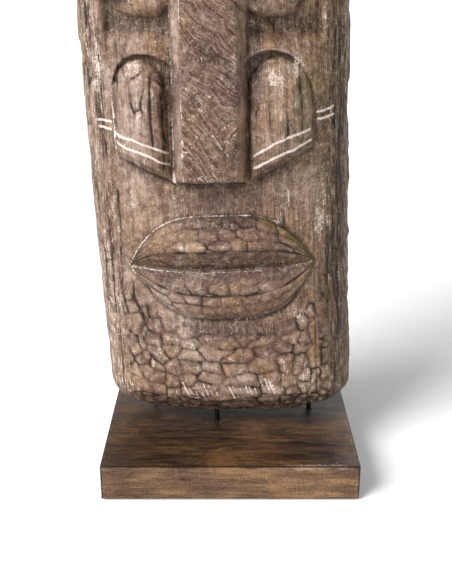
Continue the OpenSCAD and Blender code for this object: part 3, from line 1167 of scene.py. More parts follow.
@dataclass
class CarvedFigure:
    """The carved log: its sections, its mesh and its paint."""

    half_w: float = 149.0
    front_depth: float = 62.0
    back_depth: float = 72.0
    widest_y: float = -10.0
    lean: float = 24.5
    front_pow: float = 2.3
    back_pow: float = 3.5
    foot_round: float = 26.0
    foot_in: float = 33.0
    foot_front: float = 15.0
    foot_back: float = 10.0
    crown_round: float = 56.0
    crown_in: float = 62.0
    crown_front: float = 22.0
    crown_back: float = 24.0
    taper: float = 0.11
    taper_from: float = 620.0
    side_cell: tuple[float, float] = (17.0, 74.0)
    plain_cell: tuple[float, float] = (15.0, 62.0)
    lip_cell: float = 21.0
    chin_tall: float = 16.5
    adze_cell: tuple[float, float] = (27.0, 58.0)
    adze_cut: float = 2.6
    hole_radius: float = 3.3
    side_from: float = 131.0
    front_step: float = 1.78
    side_step: float = 2.7
    back_step: float = 6.2
    carving: Carving = field(default_factory=Carving)
    finish: DrybrushedCarving = DrybrushedCarving()

    def __post_init__(self) -> None:
        """Takes the heights from the frame."""
        low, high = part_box("carved_figure")
        self.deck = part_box("top_board")[1].z / MM
        self.foot = low.z / MM - self.deck
        self.top = high.z / MM - self.deck

    # -- sections --

    def middle(self, h: Array) -> Array:
        """x of the log's middle line, which bows to one side."""
        return -self.lean * (1 - ((h - 900) / 840) ** 2)

    def half(self, h: Array) -> Array:
        """Half the log's width.

        Args:
            h: heights on the figure, in millimetres.

        Returns:
            The half-width, in millimetres.
        """
        narrowed = 1 - self.taper * ramp(self.taper_from, self.top, h)
        return self.half_w * narrowed - self.foot_in * quarter(h - self.foot, self.foot_round) \
            - self.crown_in * quarter(self.top - h, self.crown_round)

    def front(self, h: Array) -> Array:
        """Depth from the widest line to the front."""
        return self.front_depth - self.foot_front * (1 - slope(0, 22, h - self.foot)) \
            - self.crown_front * quarter(self.top - h, self.crown_round)

    def back(self, h: Array) -> Array:
        """Depth from the widest line to the back."""
        return self.back_depth - self.foot_back * quarter(h - self.foot, self.foot_round) \
            - self.crown_back * quarter(self.top - h, self.crown_round)

    @staticmethod
    def curve(shares: Array, power: float) -> Array:
        """How far the section stands out, from 1 in the middle to 0 at the widest line."""
        return np.clip(1 - np.abs(shares) ** power, 0, 1) ** (1 / power)

    def even_shares(self, power: float, depth: float, step: float, limit: float) -> Array:
        """Shares of the half-width, from 1 down to limit, evenly spaced along the section's curve.

        Args:
            power: how square the section is.
            depth: from the widest line to the surface, in millimetres.
            step: the wanted distance, in millimetres.
            limit: the share to stop at.

        Returns:
            The shares.
        """
        angle = np.linspace(0.0, math.pi / 2, 4000)
        x = self.half_w * np.cos(angle) ** (2 / power)
        y = depth * np.sin(angle) ** (2 / power)
        run = np.concatenate([[0.0], np.cumsum(np.hypot(np.diff(x), np.diff(y)))])
        end = np.interp(-limit * self.half_w, -x, run)
        count = max(2, round(end / step))
        return np.interp(np.linspace(0.0, end, count + 1), run, x / self.half_w)

    def columns(self) -> tuple[Array, Array]:
        """Shares of the half-width of every upright line of the mesh, counter-clockwise from +X, and
        which of them are on the back.

        Returns:
            The shares, and whether each is on the back.
        """
        back = self.even_shares(self.back_pow, self.back_depth, self.back_step, 0.0)
        sides = self.even_shares(self.front_pow, self.front_depth, self.side_step,
                                 self.side_from / self.half_w)
        c = self.carving
        marks = [-self.side_from, c.cheeks[0].x - c.cheeks[0].outer, c.nose_x - c.nose_root,
                 c.nose_x - c.nose_front, c.nose_x + c.nose_front, c.nose_x + c.nose_root,
                 c.cheeks[1].x + c.cheeks[1].outer, self.side_from]
        face = []
        for low, high in zip(marks, marks[1:]):
            count = max(1, round((high - low) / self.front_step))
            face += [low + (high - low) * k / count for k in range(count)]
        behind = np.concatenate([back[:-1], -back[::-1]])[:-1]
        before = np.concatenate([-sides[:-1], np.array(face) / self.half_w, sides[::-1][:-1]])
        shares = np.concatenate([behind, before])
        return shares, np.arange(len(shares)) < len(behind)

    def rows(self) -> Array:
        """Plain heights of every level row of the mesh, closer together where the face is carved.

        Returns:
            The heights, from the foot to the crown.
        """
        runs = [(self.foot, self.foot + 22, 2.2), (self.foot + 22, 470, 2.02), (470, 640, 2.6),
                (640, 735, 2.8), (735, self.top - self.crown_round, 4.6)]
        heights = [np.linspace(low, high, max(2, round((high - low) / step)), endpoint=False)
                   for low, high, step in runs]
        crown = self.top - self.crown_round * (1 - np.cos(np.linspace(math.pi / 2, 0.0, 20)))
        return np.concatenate([*heights, crown])

    def surface(self) -> tuple[Array, Array, Array, Array, Array]:
        """Places of all points of the mesh.

        Returns:
            points (rows, columns, 3), x and h (rows, columns) of each, shares and back of each column.
        """
        shares, behind = self.columns()
        plain = self.rows()
        h = np.empty((len(plain), len(shares)))
        for k, share in enumerate(shares):
            if behind[k]:
                h[:, k] = plain
            else:
                level, carved = self.carving.levels(share * self.half_w, self.top, self.foot)
                h[:, k] = np.interp(plain, level, carved)
        x = shares * self.half(h)
        ahead = self.widest_y - self.front(h) * self.curve(shares, self.front_pow)
        hollow = 8 * (1 - ramp(0.35, 0.75, np.abs(shares))) * ramp(60, 150, h) * (1 - ramp(800, 890, h))
        rear = self.widest_y + self.back(h) * self.curve(shares, self.back_pow) - hollow
        keep = slope(0, 24, h - self.foot) * ramp(12, 86, self.top - h)
        carved = np.where(behind, 0.0, self.carving.relief(x, h) * keep)
        y = np.where(behind, rear, ahead - carved)
        points = np.stack([self.middle(h) + x, y, h], axis=-1)
        return points, x, h, shares, behind

    def along_skin(self, shares: Array, behind: Array) -> tuple[Array, float]:
        """Distance of each column round the log's section, and the whole way round.

        Args:
            shares: every column's share of the half-width.
            behind: which columns are on the back.

        Returns:
            Millimetres from the front's middle, and the whole way round.
        """
        y = np.where(behind, self.back_depth * self.curve(shares, self.back_pow),
                     -self.front_depth * self.curve(shares, self.front_pow))
        x = shares * self.half_w
        steps = np.hypot(np.diff(x, append=x[:1]), np.diff(y, append=y[:1]))
        run = np.concatenate([[0.0], np.cumsum(steps)])
        middle = np.interp(0.0, x[~behind], run[:-1][~behind])
        return run[:-1] - middle, run[-1]

    @staticmethod
    def normals(points: Array) -> Array:
        """Outward direction at each point, from its neighbours round and above.

        Args:
            points: places, by row and column.

        Returns:
            Directions of length 1.
        """
        round_way = np.roll(points, -1, 1) - np.roll(points, 1, 1)
        up_way = np.gradient(points, axis=0)
        out = np.cross(round_way, up_way)
        return out / np.maximum(np.linalg.norm(out, axis=-1, keepdims=True), 1e-9)

    # -- cracks, paint, and painted light and shade --

    def zones(self, x: Array, h: Array, front: Array) -> dict[str, Array]:
        """Where each kind of surface is, as shares from 0 to 1.

        Args:
            x, h: places on the figure, in millimetres.
            front: how far a place belongs to the log's front, from 0 to 1.

        Returns:
            The shares, by the surface's name.
        """
        c = self.carving
        stray = 7 * rough(x / 24, h / 30, 71, 3)
        wide = np.abs(x) + stray
        nose = front * slope(c.nose_root + 1, c.nose_root - 1, c.nose_away(x, h))
        nose = nose * (h > c.nose_tip - 4) * (h < c.nose_end + 20)
        lips = front * (c.mouth.outline(x, h) < 0)
        cheeks = front * ((c.cheeks[0].outline(x, h) < 0) | (c.cheeks[1].outline(x, h) < 0))
        eyes = front * ((c.eyes[0].outline(x, h) < 0) | (c.eyes[1].outline(x, h) < 0))
        side = 1 - front * (1 - ramp(116, 128, wide))
        brim = 132 + 34 * (np.abs(x) / 95) ** 2 + stray
        chin = front * (1 - side) * (1 - lips) * ramp(brim + 3, brim - 3, h)
        return {"nose": nose, "lips": lips, "cheeks": cheeks, "eyes": eyes, "side": side, "chin": chin}

    def cracks(self, x: Array, h: Array, skin: Array, whole: float,
               zone: dict[str, Array]) -> tuple[Array, Array]:
        """Cracks of the wood, in cells that differ from one kind of surface to the next.

        Args:
            x, h: places on the figure, in millimetres.
            skin: distance round the log, in millimetres.
            whole: the whole way round the log, in millimetres.
            zone: where each kind of surface is, by its name.

        Returns:
            Millimetres to the nearest crack, and one random number per cell.
        """
        m = self.carving.mouth
        even = np.ones(x.shape)
        sway = 7 * rough(skin / 40, h / 40, 5, 3) + 1.2 * drift(skin / 7, h / 7, 6)
        lift = 6 * rough(skin / 36, h / 36, 9, 3) + 1.2 * drift(skin / 7, h / 7, 10)
        line = np.arange(-200.0, 201.0)
        wide = 15 + 24 * bell(line - 4, 50)
        far_chin, tone_chin = net(cells_along(x + sway, wide), (h + lift) / self.chin_tall,
                                  np.interp(x, line, wide), self.chin_tall * even, 47)

        share, (up, down) = m.share(x, h), m.reach(x)
        inner = np.abs(share) < m.ridge(x, h)
        rows = np.where(share > 0, 2 / m.ridge_up, 2 / m.ridge_down)
        row = np.maximum(np.where(share > 0, up, down) / rows, 2.0)
        far_lip, tone_lip = net((x + 0.5 * sway) / self.lip_cell, share * rows + 0.02 * lift,
                                self.lip_cell * even, row, 52, stray=0.3)
        far_lip = far_lip + np.where(inner, np.where(share > 0, 1.6, 2.6 * bell(share, 0.2)), 0.0)
        far_lip = far_lip + 0.25 + 0.8 * drift(x / 18, h / 9, 15)

        count = round(whole / self.side_cell[0])
        wide, tall = whole / count, self.side_cell[1]
        far_side, tone_side = net((skin + 0.4 * sway) / wide, (h + 3 * lift) / tall, wide * even,
                                  tall * even, 63, count)
        far_side = far_side + 0.6 + 1.8 * (drift(skin / 16, h / 55, 21) + 0.2)

        wide, tall = self.plain_cell
        far, tone = net((x + 0.6 * sway) / wide, (h + 2 * lift) / tall, wide * even, tall * even, 77)
        far = far + 1.8 - 0.9 * zone["cheeks"] + 2.0 * drift(x / 14, h / 30, 25) + 3.0 * bell(h - 143, 18)
        kinds = [(zone["side"], far_side, tone_side), (zone["chin"], far_chin, tone_chin),
                 (zone["lips"] + zone["eyes"], far_lip, tone_lip)]
        for where, kind_far, kind_tone in kinds:
            far, tone = np.where(where > 0.5, kind_far, far), np.where(where > 0.5, kind_tone, tone)
        far = far + 9 * zone["nose"] + 1.3 * np.maximum(drift(x / 26, h / 20, 33), 0)
        for split in self.carving.splits:
            path = split.x + split.sway * rough(h / 30, h * 0 + split.x, 91, 3)
            past = np.maximum(np.maximum(split.low - h, h - split.high), 0) * 0.25
            here = np.minimum(far, np.abs(x - path) + past + 0.9 - split.width)
            far = np.where(np.abs(x - split.x) < 24.0, here, far)
        return far, tone

    def shaded_creases(self, x: Array, h: Array, front: Array) -> Array:
        """Distance to the carved creases, slits, undercuts and grooves, where dark lines are drawn as
        painted shade; the line under the nose's tip is a painted shadow.

        Args:
            x, h: places on the figure, in millimetres.
            front: how far a place belongs to the log's front, from 0 to 1.

        Returns:
            The distance, in millimetres.
        """
        c, m = self.carving, self.carving.mouth
        lip = m.ridge_away(x, h) + np.where(h > m.slit(x), 1.0, -1.0)
        rim = 0.9 - 0.7 * slope(m.h - 10, m.h - 40, h)
        lines = [np.abs(m.outline(x, h) + 1.0) + rim + 0.8 * drift(x / 17, h / 17, 58),
                 np.abs(lip) - 0.1 + 0.7 * drift(x / 12, h / 12, 59)]
        for cheek in c.cheeks:
            on_arch = np.where((h > 372) & (cheek.nose_away(x) < 2), 0.0, 9.0)
            lines.append(np.abs(cheek.arch_away(x, h) + 2.0) + on_arch + 0.5)
            below = np.where((cheek.arch_away(x, h) < 0) & (cheek.nose_away(x) < 0), -0.2, 9.0)
            lines.append(np.abs(cheek.foot_away(x, h)) + below)
        tall = np.where((h > c.nose_tip - 4) & (h < c.nose_end), 0.6, 9.0)
        lines.append(np.abs(c.nose_away(x, h) - c.nose_root - 0.8) + tall)
        # Painted shadow under the nose's tip.
        under = np.where(c.nose_away(x, h) < c.nose_root, 0.5, 9.0)
        lines.append(np.abs(h - c.nose_tip + 5) * 0.6 + under)
        wave = 49 + 2.0 * rough(x / 25, x * 0, 61, 3)
        lines.append(np.abs(h - wave) + np.where(np.abs(x) < 112, 0.35, 9.0))
        lines.append(np.abs(h - wave + 9) + 0.8 + 1.2 * np.abs(drift(x / 20, x * 0, 66)))
        for eye in c.eyes:
            slit = np.abs(h - eye.slit(x)) + np.where(eye.outline(x, h) < 0, 0.1, 9.0)
            lines += [np.abs(eye.outline(x, h)) + 0.4, slit]
        lines.append(c.chevron_away(x, h) + np.where((h > c.band_low) & (h < c.band_high), 0.5, 9.0))
        above = np.where(h > c.band_high + 12, 0.5, 9.0)
        lines.append(c.flute_away(x) + above + 9 * ramp(-96, -50, h - self.top))
        return np.where(front > 0.5, np.minimum.reduce(lines), 99.0)

    def stroke_lines(self, x: Array, h: Array, front: Array) -> Array:
        """Distance to the nearest chisel stroke, less half its width.

        Args:
            x, h: places on the figure, in millimetres.
            front: how far a place belongs to the log's front, from 0 to 1.

        Returns:
            The distance, in millimetres, negative on a stroke.
        """
        nearest = np.full(x.shape, 99.0)
        for row in self.carving.strokes:
            for k in range(row.count):
                share = (k + 0.5) / row.count
                chance = [float(scatter(np.array(k), np.array(j), row.seed)) for j in range(3)]
                mid_x = mix(share, row.start[0], row.end[0]) + 2.4 * (chance[0] - 0.5)
                mid_h = mix(share, row.start[1], row.end[1]) + 4.0 * (chance[1] - 0.5)
                half = row.length * (0.3 + 0.4 * chance[2])
                tilt = row.lean + 0.25 * (chance[1] - 0.5)
                dx, dh = math.sin(tilt) * half, math.cos(tilt) * half
                line = to_line(x, h, [(mid_x - dx, mid_h - dh), (mid_x + dx, mid_h + dh)])
                nearest = np.minimum(nearest, line - row.width * (0.5 + 0.6 * chance[0]))
        return np.where(front > 0.5, nearest, 99.0)

    def paint_and_highlight(self, x: Array, h: Array, front: Array) -> Array:
        """Distance outside the white lines, in millimetres; worn lines keep a little outside all over. Some
        of the lines are painted highlights, as noted below.

        Args:
            x, h: places on the figure, in millimetres.
            front: how far a place belongs to the log's front, from 0 to 1.

        Returns:
            The distance, negative on a line.
        """
        c, m = self.carving, self.carving.mouth
        wobble = 0.9 * drift(x / 9, h / 9, 44)
        worn = 0.9 * drift(x / 13, h / 13, 45) + 0.5 * drift(x / 4, h / 4, 46)
        lines = [self.stroke_lines(x, h, front) + 0.3 + 0.3 * worn]
        lines += [to_line(x, h + wobble, list(stripe)) - 1.3 for stripe in c.stripes]
        # The white lines along the lip slit, the lips' upper-left outline, the cheeks' arches and feet, the
        # nose's left root and front arris and the left cheek's outer edge lie on arrises that face the
        # light: they are partly worn white paint and partly painted highlight. The stripes, strokes, brow
        # lines and headband lines are white paint.
        lines.append(np.abs(h - m.slit(x) + 0.6) - 0.12 + 0.3 * worn + 9 * (np.abs(m.across(x)) > 0.97))
        high_left = np.clip((x - 60) / 40, 0, 2) + np.clip((m.h - 60 - h) / 30, 0, 2)
        lines.append(np.abs(m.outline(x, h) - 0.6) - 0.45 + 0.5 * worn + high_left)
        for cheek in c.cheeks:
            beside = 9 * (cheek.nose_away(x) > 2)
            arch = np.abs(cheek.arch_away(x, h) - 1.6)
            lines.append(arch + 0.1 + 0.5 * worn + beside + 9 * (h < 372))
            upper = np.abs(cheek.foot_away(x, h) + cheek.chamfer_height(x))
            lines.append(upper + 0.25 + 0.6 * worn + beside + 9 * (cheek.arch_away(x, h) > -1))
        left, across = c.cheeks[0], c.nose_across(x, h)
        tall = 9 * ((h < c.nose_tip - 5) | (h > c.nose_end))
        root = np.abs(across + c.nose_root + 1.0) - 0.4 - 1.6 * bell(h - c.nose_tip, 9)
        lines.append(root + 0.5 * worn + tall)
        lines.append(np.abs(across + c.nose_front) - 0.1 + 0.6 * worn + tall)
        edge = np.abs(x - left.x + left.outer + 1.2) - 0.8 + 0.4 * worn
        lines.append(edge + 9 * (h < 338) + np.clip((h - 400) / 20, 0, 9))
        for offset in (7.0, 15.0):
            lines.append(np.abs(c.brow_away(x, h) - 26 - offset) - 1.3 + 9 * (np.abs(x - c.nose_x) > 116))
            lines.append(np.abs(h - c.band_high - offset + 2) - 1.3 + 9 * (np.abs(x) > 122))
        return np.where(front > 0.5, np.minimum.reduce(lines), 99.0)

    def rubbing(self, x: Array, h: Array, skin: Array, front: Array, zone: dict[str, Array],
                high_edge: Array) -> Array:
        """How much worn white clings: from 0.4 the wood is dusty, from 0.9 it is white.

        Args:
            x, h: places on the figure, in millimetres.
            skin: distance round the log, in millimetres.
            front: how far a place belongs to the log's front, from 0 to 1.
            zone: where each kind of surface is, by its name.
            high_edge: how proud a place stands among its neighbours.

        Returns:
            The wear, from 0 to 1.4.
        """
        proud = np.clip(high_edge, -0.8, 1.0) * (0.2 + 0.17 * front)
        base = 0.16 + 0.34 * rough(skin / 30, h / 70, 81, 4) + proud
        base = base - 0.1 * zone["nose"] - 0.12 * zone["lips"] + 0.08 * zone["cheeks"]
        patches = sum(wear.share(x, h) for wear in self.carving.wears)
        scratchy = 0.6 + 0.9 * rough(skin / 4, h / 22, 83, 3)
        side = zone["side"] * (0.04 + 0.1 * (skin < 0) * front) - 0.14 * front * ramp(110, 134, x)
        return np.clip(base + front * patches * scratchy + side - 0.14 * (1 - front), 0.0, 1.4)

    def stain(self, x: Array, h: Array, skin: Array, front: Array, zone: dict[str, Array],
              tone: Array, hollow: Array) -> Array:
        """Ground colour of the wood, as linear colours, with painted shade and painted light laid into some
        layers, as noted there.

        Args:
            x, h, skin: places on the figure.
            front: 1 on the front, 0 on the back.
            zone: kinds of surface.
            tone: one random number per cell of the crackle.
            hollow: how deep each place lies below what is round it; deep places get painted shade.

        Returns:
            Red, green and blue at each place.
        """
        c, m = self.carving, self.carving.mouth
        cloud = rough(skin / 46, h / 60, 101, 4)
        spots = rough(skin / 15, h / 22, 111, 4)
        grain = rough(skin / 4, h / 60, 121, 3)
        cell = np.clip(tone - 0.5, -0.5, 0.5)
        cobbled = np.maximum(zone["chin"], 0.8 * zone["lips"])
        light = 0.32 - 0.3 * cobbled + 0.34 * cloud + 0.42 * spots + 0.25 * grain
        light = np.clip(light + (0.3 + 0.6 * cobbled) * cell, 0, 1)
        ground = mix(light[..., None], Tint.BROWN.light(), Tint.TAN.light())
        share, away, across = m.share(x, h), m.outline(x, h), c.nose_across(x, h)
        inner = (np.abs(share) < m.ridge(x, h)) * zone["lips"]
        # Painted shade on the cheeks' foot bevels, which face down.
        painted_shade_bevels = sum((cheek.foot_away(x, h) < 0) * (cheek.foot_away(x, h) > -cheek.chamfer_height(x))
                     * (cheek.arch_away(x, h) < 0) * (cheek.nose_away(x) < 0) for cheek in c.cheeks)
        olive = 0.5 * ramp(92, 130, x) * (0.7 + cloud) + 0.5 * ramp(-124, -140, x) * ramp(380, 440, h)
        olive += front * bell(away + 3.5, 5) * ramp(20, 60, x) * (h > m.h) * 0.95
        layers = [
            (0.85 * zone["nose"] * (0.7 + 0.5 * cloud), Tint.BROWN),
            (0.5 * zone["nose"] * ramp(50, -20, h - 330 - 60 * spots), Tint.UMBER),
            # The nose's left wall is laid ash, partly worn white and partly painted light; its right wall is
            # laid tan as painted light, lifting the shade on that side.
            (0.75 * zone["nose"] * slope(c.nose_front - 1, c.nose_front + 2, -across), Tint.ASH),
            (0.9 * zone["nose"] * slope(c.nose_front - 1, c.nose_front + 2, across), Tint.TAN),
            (0.45 * zone["lips"] * (0.6 + 0.5 * cloud), Tint.BROWN),
            (inner * (share > 0) * (0.85 + 0.3 * spots), Tint.UMBER),
            (inner * (share < 0) * (0.6 + 0.7 * spots + 0.5 * bell(share, 0.18)), Tint.PLUM),
            (0.22 * inner * (share < 0), Tint.SHADE),
            (1.1 * np.clip(cloud - 0.12, 0, 1), Tint.PLUM),
            (1.6 * np.clip(spots - 0.2, 0, 1) * (1 - 0.6 * zone["nose"] - 0.5 * zone["lips"]),
             Tint.OCHRE),
            (1.2 * np.clip(-cloud - 0.1, 0, 1) * (1 - zone["nose"]), Tint.ASH),
            (ramp(-60, -112, x) * front * (0.16 + 0.5 * spots) * (1 - zone["lips"])
             * ramp(60, 130, h), Tint.ASH),
            (0.8 * painted_shade_bevels * front, Tint.UMBER)]
        layers += [(front * wash.share(x, h) * (0.85 + 0.7 * spots), wash.tint) for wash in c.washes_and_painted_shade]
        layers += [
            # The UMBER and MOSS layers darken the right side, which faces away from the light: painted shade
            # over the wood's own olive tint.
            (0.8 * ramp(100, 126, x) * (0.8 + 0.4 * grain), Tint.UMBER),
            (0.9 * olive, Tint.OLIVE),
            (front * ramp(112, 136, x) * (0.7 + 0.3 * grain), Tint.MOSS),
            (0.35 * front * ramp(-104, -126, x) * (1 + grain), Tint.UMBER),
            (0.35 * (1 - front) * (1 + grain), Tint.UMBER),
            # Painted shade on the front's foot below the lowest crease, where the log turns under.
            (0.85 * front * slope(50, 42, h) * (0.8 + 0.4 * spots) * ramp(-128, -96, x), Tint.SHADE),
            # Painted shade in the hollows: the deeper a place lies below what is round it, the darker, less
            # so on the nose.
            (0.75 * front * ramp(0.4, 2.6, hollow) * (1 - 0.6 * zone["nose"]), Tint.SHADE)]
        for strength, tint in layers:
            ground = mix(np.clip(strength, 0, 1)[..., None], ground, tint.light())
        return np.concatenate([ground, np.ones((*x.shape, 1))], axis=-1)

    def flow(self, x: Array, h: Array, skin: Array, zone: dict[str, Array]) -> Array:
        """Where the fibres and brush marks run: across and along them, in metres.

        Args:
            x, h: places on the figure, in millimetres.
            skin: distance round the log, in millimetres.
            zone: where each kind of surface is, by its name.

        Returns:
            Across, along, and how fibrous each place is.
        """
        c = self.carving
        bow = c.nose_across(x, h) / c.nose_front
        turn = 0.62 - 1.2 * ramp(0.3, 1.0, bow) * ramp(425, 375, h) + 0.25 * ramp(400, 460, h)
        above = h - 380
        turned_across = x * np.cos(turn) + above * np.sin(turn) + 5 * drift(x / 20, h / 30, 173)
        turned_along = -x * np.sin(turn) + above * np.cos(turn)
        flat = (zone["nose"] > 0.5) & (np.abs(bow) < 1.0)
        across = np.where(flat, 0.9 * turned_across, skin)
        along = np.where(flat, turned_along + 700, h)
        lips = zone["lips"] > 0.5
        across = np.where(lips, c.mouth.share(x, h) * 52, across)
        along = np.where(lips, 1.4 * x + 300, along)
        smooth = np.maximum.reduce([zone["chin"], zone["lips"], 0.7 * zone["cheeks"],
                                    0.7 * (1 - zone["side"])])
        strength = np.where(flat, 0.8, 1 - 0.8 * smooth)
        return np.stack([across * MM, along * MM, strength], axis=-1)

    def detail(self, x: Array, h: Array, skin: Array, front: Array, zone: dict[str, Array],
               far: Array) -> Array:
        """Fine relief along the surface's own direction: crackle, cuts and tool marks.

        Args:
            x, h: places on the figure, in millimetres.
            skin: distance round the log, in millimetres.
            front: how far a place belongs to the log's front, from 0 to 1.
            zone: where each kind of surface is, by its name.
            far: millimetres to the nearest crack.

        Returns:
            Millimetres that the surface stands out.
        """
        pillow = (1 - bell(far, 4.6)) * (0.25 + 0.75 * np.maximum(zone["chin"], 0.8 * zone["lips"]))
        groove = -0.9 * bell(far, 1.3)
        marks = 0.6 * rough(skin / 5, h / 48, 131, 3) * (1 - 0.7 * np.maximum(zone["lips"], zone["chin"]))
        dents = 1.2 * rough(skin / 20, h / 24, 141, 3)
        wide, tall = self.adze_cell
        swung = skin + 4 * rough(skin / 40, h / 40, 151, 2)
        adze_far, adze_tone = net(swung / wide, h / tall, wide + 0 * x, tall + 0 * x, 161)
        scallop = self.adze_cut * (1 - slope(0, 12, adze_far)) + 1.4 * (adze_tone - 0.5)
        cuts = -0.5 * ramp(0.9, -0.4, self.stroke_lines(x, h, front))
        across = self.flow(x, h, skin, zone)[..., 0] / MM
        gouges = 0.55 * drift(across / 7, h / 40, 171) * (zone["nose"] > 0.5)
        return pillow + groove + marks + dents + cuts + gouges + scallop * (1 - front) * zone["side"]

    # -- mesh --

    def cap(self, rim: Array, count: int) -> Array:
        """Rings that close one end of the log, from its rim to its middle.

        Args:
            rim: places along the rim, in millimetres.
            count: how many rings.

        Returns:
            The rings, from the rim inwards.
        """
        middle = np.array([rim[:, 0].mean(), self.widest_y, rim[0, 2]])
        shares = np.cos(np.linspace(0.0, math.pi / 2, count + 1))[1:]
        shares[-1] = 0.0
        return np.stack([middle + (rim - middle) * share for share in shares])

    @staticmethod
    def across_cap(name: str, rim: Array, rings: Array) -> Array:
        """Values of one attribute on an end of the log: they fade from the rim's own to their mean.

        Args:
            name: the attribute; fibres run straight across the end.
            rim: its values along the rim.
            rings: places of the end's rings in millimetres, from the rim inwards.

        Returns:
            One row of values per ring.
        """
        if name == "flow":
            strength = np.full(rings.shape[:2], 0.3)
            return np.stack([rings[..., 0] * MM, rings[..., 1] * MM, strength], axis=-1)
        reach = np.cos(np.linspace(0.0, math.pi / 2, len(rings) + 1))[1:] ** 6
        return mix(reach.reshape(-1, *[1] * rim.ndim), rim.mean(0), rim)

    def mesh(self, points: Array) -> bpy.types.Object:
        """Rolls a tube with one vertex per point and lays it on the points.

        Args:
            points: places in metres, by row and column.

        Returns:
            The figure's mesh as a piece.
        """
        rows, columns = points.shape[:2]
        bm = bmesh.new()
        bmesh.ops.create_cone(bm, cap_ends=False, segments=columns, radius1=1.0, radius2=1.0, depth=1.0)
        upright = [e for e in bm.edges if abs(e.verts[0].co.z - e.verts[1].co.z) > 0.5]
        bmesh.ops.subdivide_edges(bm, edges=upright, cuts=rows - 2, use_grid_fill=True)
        layer = bm.verts.layers.int.new("place")
        for vert in bm.verts:
            row = round((vert.co.z + 0.5) * (rows - 1))
            column = -round(math.atan2(vert.co.x, vert.co.y) / (2 * math.pi) * columns) % columns
            vert[layer] = row * columns + column
            vert.co = points[row, column]
        return close_mesh(bm, "figure")

    def drill(self, piece: bpy.types.Object) -> None:
        """Bores the three blind holes that the pins go into.

        Args:
            piece: the figure.
        """
        bm = bmesh.new()
        for name in ("front_pin", "right_pin", "left_pin"):
            low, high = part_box(name)
            bottom, top = (self.deck + self.foot - 5) * MM, high.z + 0.2 * MM
            at = Matrix.Translation(((low.x + high.x) / 2, (low.y + high.y) / 2, (bottom + top) / 2))
            radius = self.hole_radius * MM
            bmesh.ops.create_cone(bm, cap_ends=True, segments=32, radius1=radius, radius2=radius,
                                  depth=top - bottom, matrix=at)
        cutter = close_mesh(bm, "cutter")
        cut = piece.modifiers.new("holes", "BOOLEAN")
        cut.object, cut.operation, cut.solver = cutter, "DIFFERENCE", "EXACT"
        graph = bpy.context.evaluated_depsgraph_get()
        drilled = bpy.data.meshes.new_from_object(piece.evaluated_get(graph), preserve_all_data_layers=True,
                                                  depsgraph=graph)
        piece.modifiers.clear()
        piece.data = drilled
        bpy.data.objects.remove(cutter)

    def build(self) -> None:
        """Makes the figure, paints it and puts it on its body."""
        points, x, h, shares, behind = self.surface()
        skin_line, whole = self.along_skin(shares, behind)
        skin = np.broadcast_to(skin_line, x.shape).copy()
        front = np.broadcast_to(np.where(behind, 0.0, 1.0), x.shape)
        zone = self.zones(x, h, front)
        net_far, tone = self.cracks(x, h, skin, whole, zone)
        # The carved creases join the cracks here: the relief grooves them, and the paint draws them dark as
        # painted shade.
        far = np.minimum(net_far, self.shaded_creases(x, h, front))
        out = self.normals(points)
        fine = self.detail(x, h, skin, front, zone, far) * (0.2 + 0.8 * ramp(2, 46, self.top - h))
        points = points + out * fine[..., None]
        cut = np.where(front > 0.5, self.carving.relief(x, h), 0.0)
        high_edge = stand_out(fine, 3) + 0.25 * np.clip(stand_out(cut, 2), -2.0, 2.0)
        hollow = -stand_out(cut, 4)
        maps = {"crack_and_crease_shade": far, "paint_and_highlight": self.paint_and_highlight(x, h, front), "flow": self.flow(x, h, skin, zone),
                "rub": self.rubbing(x, h, skin, front, zone, high_edge),
                "stain": self.stain(x, h, skin, front, zone, tone, hollow)}
        foot, crown = self.cap(points[0], 9), self.cap(points[-1], 10)
        points = np.concatenate([foot[::-1], points, crown])
        points[..., 2] += self.deck
        piece = self.mesh(points * MM)
        self.drill(piece)
        place = np.zeros(len(piece.data.vertices), np.int32)
        piece.data.attributes["place"].data.foreach_get("value", place)
        piece.data.attributes.remove(piece.data.attributes["place"])
        for name, values in maps.items():
            below = self.across_cap(name, values[0], foot)[::-1]
            above = self.across_cap(name, values[-1], crown)
            padded = np.concatenate([below, values, above]).reshape(-1, *values.shape[2:])
            store(piece, name, padded[place])
        dress(piece, self.finish.material(), "figure", "carved_wood", "carved_figure")


# ---- the plinth and its pins -------------------------------------------------------------------


class Side(Enum):
    """The plinth's boards and the way each one faces."""

    TOP = ("top_board", (0, 0, 1))
    FRONT = ("front_board", (0, -1, 0))
    BACK = ("back_board", (0, 1, 0))
    LEFT = ("left_board", (-1, 0, 0))
    RIGHT = ("right_board", (1, 0, 0))


